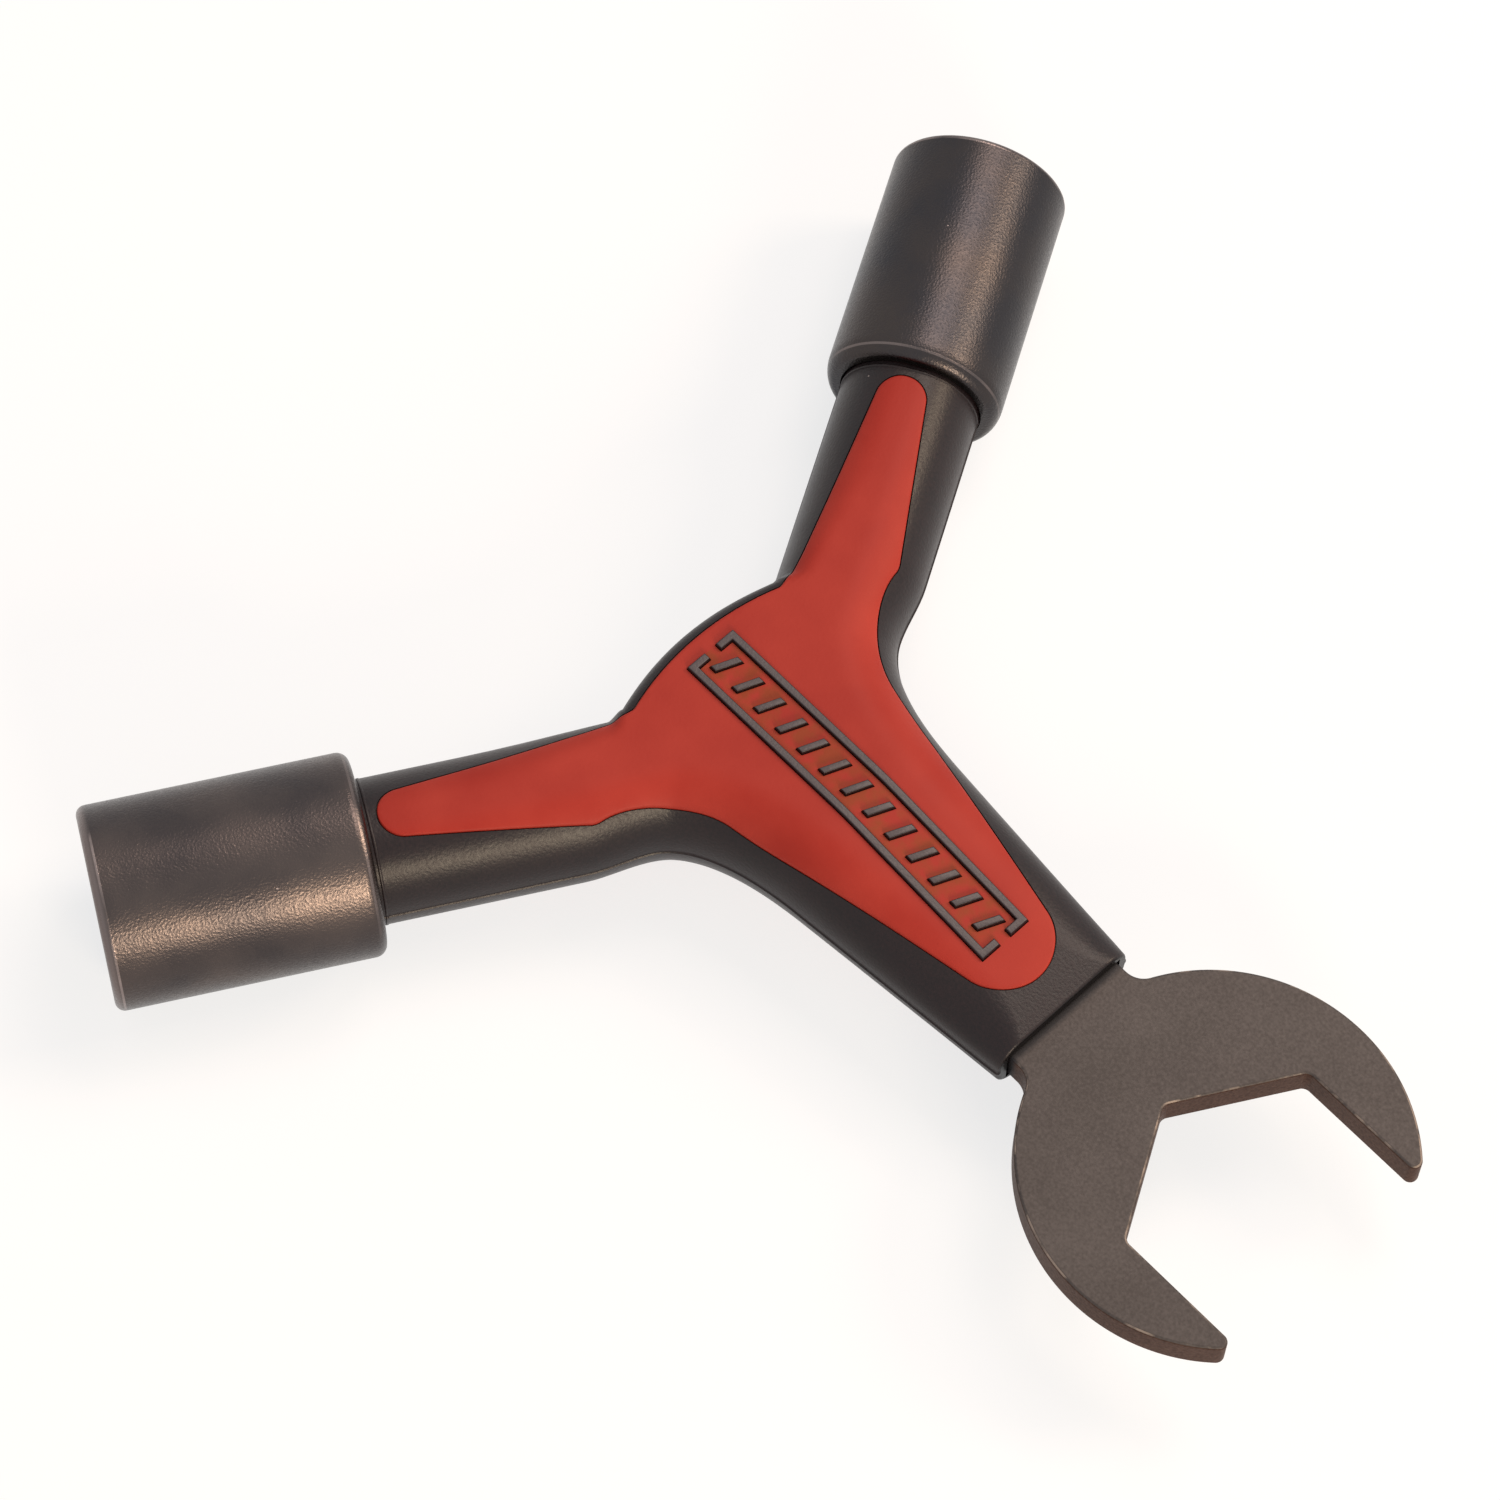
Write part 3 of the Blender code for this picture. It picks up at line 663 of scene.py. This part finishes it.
def turned_form(name, profile, steps, turn=0.0):
    """A solid spun about Z from a profile of radii and heights."""
    bm = bmesh.new()
    knots = [bm.verts.new((radius, 0.0, height)) for radius, height in profile]
    for pair in zip(knots, knots[1:]):
        bm.edges.new(pair)
    place(bm, Matrix.Rotation(turn, 4, "Z"))
    bmesh.ops.spin(bm, geom=bm.verts[:] + bm.edges[:], cent=(0.0, 0.0, 0.0), axis=(0.0, 0.0, 1.0),
                   angle=full_turn, steps=steps, use_merge=True)
    bmesh.ops.remove_doubles(bm, verts=bm.verts, dist=weld_distance)
    bmesh.ops.recalc_face_normals(bm, faces=bm.faces)
    return new_object(name, bm)


def turned_socket(name, across_flats, mouth_round, rear_round_length, turn):
    """A turned socket with its recess, its hexagonal hole, the relief below it and its chamfer."""
    corner = across_flats * half / cos(twelfth_turn)
    radius = corner + socket_wall
    recess = arm_radius + recess_play
    floor = socket_rear + recess_depth
    profile = [(0.0, socket_mouth)]
    profile += ellipse_corner((radius - mouth_round, socket_mouth - mouth_round), mouth_round,
                              mouth_round, quarter_turn, 0.0, socket_mouth_steps)
    profile += ellipse_corner((radius - rear_round, socket_rear + rear_round_length), rear_round,
                              rear_round_length, 0.0, -quarter_turn, socket_rear_steps)
    profile += [(recess, socket_rear), (recess, floor), (0.0, floor)]
    body = turned_form(name, profile, turned_steps)
    above = socket_mouth + overrun
    bottom = socket_mouth - hexagon_depth
    relief = corner * relief_radius_share
    chamfer = corner + mouth_chamfer
    hexagon = ((0.0, above), (corner, above), (corner, bottom), (0.0, bottom))
    combine(body, turned_form("hexagon", hexagon, hexagon_sides, twelfth_turn), "DIFFERENCE")
    low = bottom - relief_length
    bore = ((0.0, above), (relief, above), (relief, low), (0.0, low))
    combine(body, turned_form("relief", bore, turned_steps), "DIFFERENCE")
    cone = ((0.0, above), (chamfer + overrun, above), (0.0, socket_mouth - chamfer))
    combine(body, turned_form("chamfer", cone, turned_steps), "DIFFERENCE")
    body.data.transform(Matrix.Rotation(turn, 4, "Z") @ Matrix.Rotation(quarter_turn, 4, "Y"))
    return body


def finish_piece(piece, node, material):
    """Moves a piece to the tool's middle plane, and lets it stand for its CAD node."""
    piece.data.transform(Matrix.Translation(middle))
    piece.data.materials.clear()
    piece.data.materials.append(material)
    piece.data.shade_smooth()
    piece.data.set_sharp_from_angle(angle=sharp_angle)
    weighted = piece.modifiers.new("even shading", "WEIGHTED_NORMAL")
    weighted.keep_sharp = True
    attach(piece, "root")
    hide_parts(node)


# Materials

# The span that most of a noise lies in
noise_span = {"From Min": 0.35, "From Max": 0.65}
nylon_ior = 1.5
# Radius of a pale speck, as a share of the space between two
nylon_dust = 0.018
nylon_scuff = 0.03
steel_dust = 0.016
# Z of the normal on the plate's broken arris, and how far it spreads
arris_facing = 0.75
arris_spread = 0.2
# Where the oxide is worn off the arris behind a socket's mouth: a half width and a place. The
# highlight painted round a socket's rear rounding: a half width and a strength
mouth_bare_reach = 0.11 * mm
mouth_bare_share = 0.9
rear_highlight_reach = 0.12 * mm
rear_highlight_strength = 0.4


def linear(hex_colour):
    """Scene-linear colour of an sRGB hex colour."""
    parts = [int(hex_colour[start:start + 2], 16) / 255 for start in (0, 2, 4)]
    return [part / 12.92 if part <= 0.04045 else ((part + 0.055) / 1.055) ** 2.4
            for part in parts] + [1.0]


def connect(tree, node, inputs):
    """Sets a node's inputs, each to a value or to the node or socket that it is linked to."""
    for name, value in inputs.items():
        if isinstance(value, bpy.types.Node):
            value = next(socket for socket in value.outputs if socket.enabled)
        if isinstance(value, bpy.types.NodeSocket):
            tree.links.new(value, node.inputs[name])
        else:
            node.inputs[name].default_value = value


def add(tree, kind, inputs, **settings):
    """Adds a node with its settings and its inputs."""
    node = tree.nodes.new(kind)
    for name, value in settings.items():
        setattr(node, name, value)
    connect(tree, node, inputs)
    return node


def new_material(name):
    """An empty material with its shader, its output and its object coordinates."""
    made = bpy.data.materials.new(name)
    made.use_nodes = True
    tree = made.node_tree
    tree.nodes.clear()
    shader = add(tree, "ShaderNodeBsdfPrincipled", {})
    add(tree, "ShaderNodeOutputMaterial", {"Surface": shader})
    return made, tree, shader, add(tree, "ShaderNodeTexCoord", {})


def in_frame(tree, spot):
    """A mask of 1 within the raised frame on the front, seen in plan."""
    across = add(tree, "ShaderNodeMath", {0: spot.outputs["Y"], 1: 0.0, 2: frame_half_width},
                 operation="COMPARE")
    lengthwise = add(tree, "ShaderNodeMath",
                     {0: spot.outputs["X"], 1: (frame_start + frame_end) * half,
                      2: (frame_end - frame_start) * half}, operation="COMPARE")
    inside = add(tree, "ShaderNodeMath", {0: across, 1: lengthwise}, operation="MULTIPLY")
    front = add(tree, "ShaderNodeMath", {0: spot.outputs["Z"], 1: middle.z},
                operation="GREATER_THAN")
    return add(tree, "ShaderNodeMath", {0: inside, 1: front}, operation="MULTIPLY")


def moulded_black_nylon():
    """Glass-filled nylon from a spark-eroded mould: near black, with a fine grain that a light
    turns into a soft warm speckle, slightly cloudy, and with a few grains of dust. The raised
    bars' upward faces are painted grey as a highlight, and the end face that the plate comes
    out of is painted near black as shade."""
    made, tree, shader, places = new_material("moulded_glass_filled_nylon")
    where = places.outputs["Object"]
    # The real grain is finer, and is drawn at 0.3 mm so that it shows.
    grain = add(tree, "ShaderNodeTexNoise",
                {"Vector": where, "Scale": 1 / (0.3 * mm), "Detail": 3.0})
    clouds = add(tree, "ShaderNodeTexNoise",
                 {"Vector": where, "Scale": 1 / (6 * mm), "Detail": 4.0})
    dust = add(tree, "ShaderNodeTexVoronoi", {"Vector": where, "Scale": 1 / (7 * mm)})
    mottle = add(tree, "ShaderNodeMix", {"Factor": 0.3, "A": grain, "B": clouds})
    share = add(tree, "ShaderNodeMapRange", {"Value": mottle, **noise_span})
    plain = add(tree, "ShaderNodeMix",
                {"Factor": share, "A": linear("130C0E"), "B": linear("1E1315")}, data_type="RGBA")
    # Painted highlight: the raised bars' tops, where they face up, are painted grey as the sheen
    # that the lamps put on them.
    facing = add(tree, "ShaderNodeSeparateXYZ", {"Vector": places.outputs["Normal"]})
    top = add(tree, "ShaderNodeMapRange",
              {"Value": facing.outputs["Z"], "From Min": 0.7, "From Max": 0.95})
    spot = add(tree, "ShaderNodeSeparateXYZ", {"Vector": where})
    lightened = add(tree, "ShaderNodeMath", {0: in_frame(tree, spot), 1: top}, operation="MULTIPLY")
    greyed = add(tree, "ShaderNodeMix", {"Factor": lightened, "A": plain, "B": linear("4A4447")},
                 data_type="RGBA")
    # Painted shade: the grip's end face, where the plate comes out, is painted near black as the
    # shade that falls there.
    corner = add(tree, "ShaderNodeMapRange",
                 {"Value": spot.outputs["X"], "From Min": jaw_arm_end - 0.15 * mm,
                  "From Max": jaw_arm_end - 0.05 * mm})
    toned = add(tree, "ShaderNodeMix", {"Factor": corner, "A": greyed, "B": linear("060405")},
                data_type="RGBA")
    speck = add(tree, "ShaderNodeMath", {0: dust, 1: nylon_dust}, operation="LESS_THAN")
    dusty = add(tree, "ShaderNodeMix", {"Factor": speck, "A": toned, "B": linear("8C8480")},
                data_type="RGBA")
    rough = add(tree, "ShaderNodeMapRange",
                {"Value": mottle, **noise_span, "To Min": 0.33, "To Max": 0.41})
    bump = add(tree, "ShaderNodeBump", {"Height": grain, "Distance": 0.03 * mm})
    connect(tree, shader,
            {"Base Color": dusty, "Roughness": rough, "IOR": nylon_ior, "Specular IOR Level": 0.28,
             "Normal": bump})
    return made


def moulded_red_nylon():
    """Red nylon, the second shot of the moulding: satin and even, with faint flow marks, a fine
    grain and a few pale scuffs. Between the raised bars it is browner in patches."""
    made, tree, shader, places = new_material("moulded_red_nylon")
    where = places.outputs["Object"]
    flow = add(tree, "ShaderNodeTexNoise", {"Vector": where, "Scale": 1 / (9 * mm), "Detail": 4.0})
    # The real grain is finer, and is drawn at 0.4 mm so that it shows.
    grain = add(tree, "ShaderNodeTexNoise",
                {"Vector": where, "Scale": 1 / (0.4 * mm), "Detail": 2.0})
    patches = add(tree, "ShaderNodeTexNoise",
                  {"Vector": where, "Scale": 1 / (1.6 * mm), "Detail": 3.0})
    dust = add(tree, "ShaderNodeTexVoronoi", {"Vector": where, "Scale": 1 / (8 * mm)})
    share = add(tree, "ShaderNodeMapRange", {"Value": flow, **noise_span})
    plain = add(tree, "ShaderNodeMix",
                {"Factor": share, "A": linear("992E25"), "B": linear("A3372D")}, data_type="RGBA")
    spot = add(tree, "ShaderNodeSeparateXYZ", {"Vector": where})
    # Browner in patches within the raised frame.
    thick = add(tree, "ShaderNodeMapRange", {"Value": patches, **noise_span})
    toned = add(tree, "ShaderNodeMath", {0: in_frame(tree, spot), 1: thick}, operation="MULTIPLY")
    retinted = add(tree, "ShaderNodeMix", {"Factor": toned, "A": plain, "B": linear("8A3B22")},
                data_type="RGBA")
    speck = add(tree, "ShaderNodeMath", {0: dust, 1: nylon_scuff}, operation="LESS_THAN")
    scuffed = add(tree, "ShaderNodeMix", {"Factor": speck, "A": retinted, "B": linear("C2574C")},
                  data_type="RGBA")
    rough = add(tree, "ShaderNodeMapRange",
                {"Value": flow, "From Min": 0.3, "From Max": 0.7, "To Min": 0.46, "To Max": 0.56})
    bump = add(tree, "ShaderNodeBump", {"Height": grain, "Distance": 0.012 * mm})
    connect(tree, shader,
            {"Base Color": scuffed, "Roughness": rough, "IOR": nylon_ior,
             "Specular IOR Level": 0.14, "Normal": bump})
    return made


def phosphated_plate_steel():
    """Stamped steel with a phosphate coat: matt warm grey with a fine mottle. Its sheared edges are
    browner, the coat wears pale in patches on the arrises between, and painted shade darkens the
    plate where it enters the grip."""
    made, tree, shader, places = new_material("stamped_phosphated_steel")
    where = places.outputs["Object"]
    # The real grain of the coat is finer, and is drawn at 0.3 mm so that it shows.
    grain = add(tree, "ShaderNodeTexNoise",
                {"Vector": where, "Scale": 1 / (0.3 * mm), "Detail": 4.0})
    clouds = add(tree, "ShaderNodeTexNoise",
                 {"Vector": where, "Scale": 1 / (8 * mm), "Detail": 4.0})
    mottle = add(tree, "ShaderNodeMix", {"Factor": 0.3, "A": grain, "B": clouds})
    share = add(tree, "ShaderNodeMapRange", {"Value": mottle, **noise_span})
    face = add(tree, "ShaderNodeMix",
               {"Factor": share, "A": linear("383230"), "B": linear("443E3C")}, data_type="RGBA")
    sheared = add(tree, "ShaderNodeMix",
                  {"Factor": share, "A": linear("331C10"), "B": linear("4A3022")}, data_type="RGBA")
    facing = add(tree, "ShaderNodeSeparateXYZ", {"Vector": places.outputs["Normal"]})
    level = add(tree, "ShaderNodeMath", {0: facing.outputs["Z"]}, operation="ABSOLUTE")
    flat = add(tree, "ShaderNodeMapRange", {"Value": level, "From Min": 0.3, "From Max": 0.7})
    coated = add(tree, "ShaderNodeMix", {"Factor": flat, "A": sheared, "B": face}, data_type="RGBA")
    spot = add(tree, "ShaderNodeSeparateXYZ", {"Vector": where})
    # Painted shade: the plate is painted dark beside and inside the grip's end, as the shade that
    # falls where it enters.
    painted_join_shade = add(tree, "ShaderNodeMapRange",
                {"Value": spot.outputs["X"], "From Min": jaw_arm_end + 0.35 * mm,
                 "From Max": jaw_arm_end + 0.9 * mm, "To Min": 0.95, "To Max": 0.0})
    retinted = add(tree, "ShaderNodeMix", {"Factor": painted_join_shade, "A": coated, "B": linear("1B191C")},
                data_type="RGBA")
    arris = add(tree, "ShaderNodeMath", {0: level, 1: arris_facing, 2: arris_spread},
                operation="COMPARE")
    knocks = add(tree, "ShaderNodeTexNoise",
                 {"Vector": where, "Scale": 1 / (2.5 * mm), "Detail": 5.0})
    lightened = add(tree, "ShaderNodeMapRange", {"Value": knocks, "From Min": 0.5, "From Max": 0.62})
    pale_patches = add(tree, "ShaderNodeMath", {0: arris, 1: lightened}, operation="MULTIPLY")
    colour = add(tree, "ShaderNodeMix", {"Factor": pale_patches, "A": retinted, "B": linear("82756C")},
                 data_type="RGBA")
    rough = add(tree, "ShaderNodeMapRange",
                {"Value": mottle, **noise_span, "To Min": 0.58, "To Max": 0.5})
    dull = add(tree, "ShaderNodeMapRange", {"Value": flat, "To Min": 0.15, "To Max": 0.5})
    bump = add(tree, "ShaderNodeBump", {"Height": grain, "Distance": 0.01 * mm})
    connect(tree, shader,
            {"Base Color": colour, "Roughness": rough, "Specular IOR Level": dull, "Metallic": 0.4,
             "Normal": bump})
    return made


def black_oxide_socket_steel(name, turn, mouth_round, rear_round_length, dark, brown):
    """Turned steel, tumbled and blackened: near black where it mirrors the room, with faint brown
    clouds, and a tan speckle where a lamp strikes it. The oxide is thin on the mouth's face, and
    worn off the arris behind it. A pale line round the socket's rear rounding is a painted
    highlight. A few pale specks of dust lie on it."""
    made, tree, shader, places = new_material(name)
    along = add(tree, "ShaderNodeMapping", {"Vector": places.outputs["Object"],
                                            "Rotation": (0.0, 0.0, -turn)}, vector_type="POINT")
    # The real marks of tumbling are finer, and are drawn at 0.24 mm so that they show.
    grain = add(tree, "ShaderNodeTexNoise",
                {"Vector": along, "Scale": 1 / (0.24 * mm), "Detail": 2.0})
    clouds = add(tree, "ShaderNodeTexNoise",
                 {"Vector": along, "Scale": 1 / (9 * mm), "Detail": 5.0})
    dust = add(tree, "ShaderNodeTexVoronoi", {"Vector": along, "Scale": 1 / (6 * mm)})
    share = add(tree, "ShaderNodeMapRange", {"Value": clouds, "From Min": 0.38, "From Max": 0.66})
    speckle = add(tree, "ShaderNodeMix", {"Factor": 0.5, "A": share, "B": grain})
    oxide = add(tree, "ShaderNodeMix", {"Factor": speckle, "A": linear(dark), "B": linear(brown)},
                data_type="RGBA")
    reach = add(tree, "ShaderNodeSeparateXYZ", {"Vector": along})
    face = add(tree, "ShaderNodeMapRange",
               {"Value": reach.outputs["X"], "From Min": socket_mouth - mouth_round,
                "From Max": socket_mouth - mouth_round * half, "To Max": 0.45})
    arris = add(tree, "ShaderNodeMath",
                {0: reach.outputs["X"], 1: socket_mouth - mouth_round * mouth_bare_share,
                 2: mouth_bare_reach}, operation="COMPARE")
    patchy = add(tree, "ShaderNodeMapRange", {"Value": clouds, "From Min": 0.4, "From Max": 0.6})
    bare = add(tree, "ShaderNodeMath", {0: arris, 1: patchy}, operation="MULTIPLY")
    # Painted highlight: a pale line round the start of the socket's rear rounding, where a lamp's
    # highlight falls.
    rear = add(tree, "ShaderNodeMath",
               {0: reach.outputs["X"], 1: socket_rear + rear_round_length * half,
                2: rear_highlight_reach}, operation="COMPARE")
    pale_patches = add(tree, "ShaderNodeMath", {0: patchy, 1: rear_highlight_strength}, operation="MULTIPLY")
    rear_painted_highlight = add(tree, "ShaderNodeMath", {0: rear, 1: pale_patches}, operation="MULTIPLY")
    arrises = add(tree, "ShaderNodeMath", {0: bare, 1: rear_painted_highlight}, operation="MAXIMUM")
    lightened = add(tree, "ShaderNodeMath", {0: face, 1: arrises}, operation="MAXIMUM")
    speck = add(tree, "ShaderNodeMath", {0: dust, 1: steel_dust}, operation="LESS_THAN")
    marked = add(tree, "ShaderNodeMath", {0: lightened, 1: speck}, operation="MAXIMUM")
    colour = add(tree, "ShaderNodeMix", {"Factor": marked, "A": oxide, "B": linear("8C7F7C")},
                 data_type="RGBA")
    rough = add(tree, "ShaderNodeMapRange",
                {"Value": grain, **noise_span, "To Min": 0.37, "To Max": 0.27})
    bump = add(tree, "ShaderNodeBump", {"Height": grain, "Distance": 0.04 * mm})
    connect(tree, shader,
            {"Base Color": colour, "Roughness": rough, "Metallic": 1.0, "Normal": bump})
    return made


# Studio

def resting_plane(points, centre):
    """Point and normal of the level that the tool rests on: a plane tipped until it touches three
    points. Points within a millimetre of the line that it tips about are passed over."""
    up = Vector((0.0, 0.0, 1.0))
    first = min(points, key=lambda point: point.z)
    way = Vector((centre.x - first.x, centre.y - first.y, 0.0)).normalized()

    def climb(out, rise):
        """A measure of a point: the angle that it lies at above the way out."""
        def angle(point):
            run = (point - first).dot(out)
            return atan2((point - first).dot(rise), run) if run > mm else pi
        return angle

    second = min(points, key=climb(way, up))
    hinge = (second - first).normalized()
    out = (centre - first) - hinge * (centre - first).dot(hinge)
    out = Vector((out.x, out.y, 0.0))
    out = (out - hinge * out.dot(hinge)).normalized()
    rise = hinge.cross(out)
    if rise.z < 0:
        rise.negate()
    third = min(points, key=climb(out, rise))
    normal = (second - first).cross(third - first).normalized()
    return first, normal if normal.z > 0 else -normal


def seen_directly(tree):
    """A mask of 1 for what the camera sees straight, mirrored or through clear parts, and of 0 for
    what lights other things."""
    path = add(tree, "ShaderNodeLightPath", {})
    seen = add(tree, "ShaderNodeMath",
               {0: path.outputs["Is Camera Ray"], 1: path.outputs["Is Glossy Ray"]},
               operation="MAXIMUM")
    return add(tree, "ShaderNodeMath", {0: seen, 1: path.outputs["Is Transmission Ray"]},
               operation="MAXIMUM")


def white_paper():
    """Matt white paper sweep, with a faint fibre. It keeps a light shadow of the tool where the
    camera or a reflection sees it, and is clear from below."""
    made, tree, shader, places = new_material("white_paper")
    # Real fibres are finer, and are drawn at 2 mm so that they show.
    fibres = add(tree, "ShaderNodeTexNoise",
                 {"Vector": places.outputs["Object"], "Scale": 1 / (2 * mm)})
    paper = add(tree, "ShaderNodeMix",
                {"Factor": fibres, "A": linear("D9D9D8"), "B": linear("DEDEDE")}, data_type="RGBA")
    shown = seen_directly(tree)
    colour = add(tree, "ShaderNodeMix", {"Factor": shown, "A": paper, "B": linear("FFFFFF")},
                 data_type="RGBA")
    white = add(tree, "ShaderNodeEmission", {"Color": linear("FFFFFF"), "Strength": 1.0})
    lit_share = add(tree, "ShaderNodeMath", {0: shown, 1: paper_own_light}, operation="MULTIPLY")
    lit = add(tree, "ShaderNodeMixShader", {0: lit_share, 1: shader, 2: white})
    below = add(tree, "ShaderNodeNewGeometry", {}).outputs["Backfacing"]
    clear = add(tree, "ShaderNodeBsdfTransparent", {})
    faced = add(tree, "ShaderNodeMixShader", {0: below, 1: lit, 2: clear})
    output = next(node for node in tree.nodes if node.type == "OUTPUT_MATERIAL")
    connect(tree, output, {"Surface": faced})
    connect(tree, shader, {"Base Color": colour, "Roughness": 0.9})
    return made


def paper_floor():
    """Lays the paper under the tool, level with the three points that the CAD parts rest on."""
    points = [vert.co.copy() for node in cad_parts.values() for vert in node.data.vertices]
    touch, normal = resting_plane(points, middle)
    bm = bmesh.new()
    bmesh.ops.create_grid(bm, x_segments=1, y_segments=1, size=paper_half_size)
    place(bm, Matrix.Translation(touch - normal * paper_gap)
          @ normal.to_track_quat("Z", "Y").to_matrix().to_4x4())
    floor = new_object("paper_floor", bm)
    floor.data.materials.append(white_paper())


def softbox(name, direction, side, power, hex_colour):
    """A square lamp that faces the tool's middle from a direction."""
    lamp = bpy.data.lights.new(name, "AREA")
    lamp.shape = "SQUARE"
    lamp.size = side
    lamp.energy = power
    lamp.color = linear(hex_colour)[:3]
    made = bpy.data.objects.new(name, lamp)
    bpy.context.scene.collection.objects.link(made)
    towards = Vector(direction).normalized()
    made.location = middle + towards * lamp_distance
    made.rotation_euler = towards.to_track_quat("Z", "Y").to_euler()


def studio():
    """Two warm softboxes, placed by the streaks on the two sockets, a larger and softer one above
    the tool, and a pale room."""
    softbox("near_softbox", (0.853, -0.355, 0.382), side=0.28, power=5.4, hex_colour="FFE7C8")
    softbox("far_softbox", (0.372, 0.710, 0.598), side=0.28, power=3.6, hex_colour="FFE3C4")
    softbox("upper_softbox", (-0.08, 0.5, 0.86), side=0.42, power=3.6, hex_colour="FFE9DA")
    world = bpy.data.worlds.new("pale_room")
    bpy.context.scene.world = world
    world.use_nodes = True
    tree = world.node_tree
    tree.nodes.clear()
    shown = seen_directly(tree)
    room = add(tree, "ShaderNodeBackground", {"Color": linear("FAFAFF"), "Strength": room_light})
    backdrop = add(tree, "ShaderNodeBackground", {"Color": linear("FFFFFF"), "Strength": 1.0})
    blend = add(tree, "ShaderNodeMixShader", {0: shown, 1: room, 2: backdrop})
    add(tree, "ShaderNodeOutputWorld", {"Surface": blend})


def photo_camera():
    """Camera at the photo's angle, found from the tool's three arms and the jaw."""
    azimuth = radians(-45.60)
    elevation = radians(63.74)
    roll = radians(2.197)
    target = Vector((-3.767 * mm, -2.020 * mm, 0.0)) + middle
    distance = 532.3 * mm
    focal_pixels = 5635.4
    frame_pixels = 1500
    back = Vector((cos(azimuth) * cos(elevation), sin(azimuth) * cos(elevation), sin(elevation)))
    side = Vector((-sin(azimuth), cos(azimuth), 0.0))
    up = back.cross(side)
    right = cos(roll) * side + sin(roll) * up
    top = cos(roll) * up - sin(roll) * side
    lens = bpy.data.cameras.new("photo_camera")
    camera = bpy.data.objects.new("photo_camera", lens)
    bpy.context.scene.collection.objects.link(camera)
    lens.lens = focal_pixels / frame_pixels * lens.sensor_width
    lens.clip_start = 10 * mm
    turned = Matrix((right, top, back)).transposed().to_4x4()
    camera.matrix_world = Matrix.Translation(target + back * distance) @ turned
    bpy.context.scene.camera = camera


def dress_socket(name, node, across_flats, mouth_round, rear_round_length, turn, dark, brown):
    """Turns a socket with its own steel, which stands for its CAD node."""
    steel = black_oxide_socket_steel(node + "_black_oxide_steel", turn, mouth_round,
                                     rear_round_length, dark, brown)
    socket = turned_socket(name, across_flats, mouth_round, rear_round_length, turn)
    finish_piece(socket, node, steel)


def build():
    """Sets up the studio, and puts each piece in its CAD node's place."""
    photo_camera()
    studio()
    paper_floor()
    black = moulded_black_nylon()
    red = moulded_red_nylon()
    plate_steel = phosphated_plate_steel()
    grip, front, back = moulded_grip_and_panels()
    finish_piece(grip, "grip_body", black)
    finish_piece(front, "front_inlay", red)
    finish_piece(back, "back_inlay", red)
    finish_piece(stamped_jaw_plate(), "wrench_plate", plate_steel)
    dress_socket("axle_nut_socket", "axle_socket", axle_hexagon, axle_mouth_round,
                 axle_rear_round_length, axle_turn, "323338", "453E3B")
    dress_socket("kingpin_nut_socket", "kingpin_socket", kingpin_hexagon, kingpin_mouth_round,
                 kingpin_rear_round_length, kingpin_turn, "393638", "5B514D")
    bpy.context.scene.view_settings.view_transform = "Standard"


build()
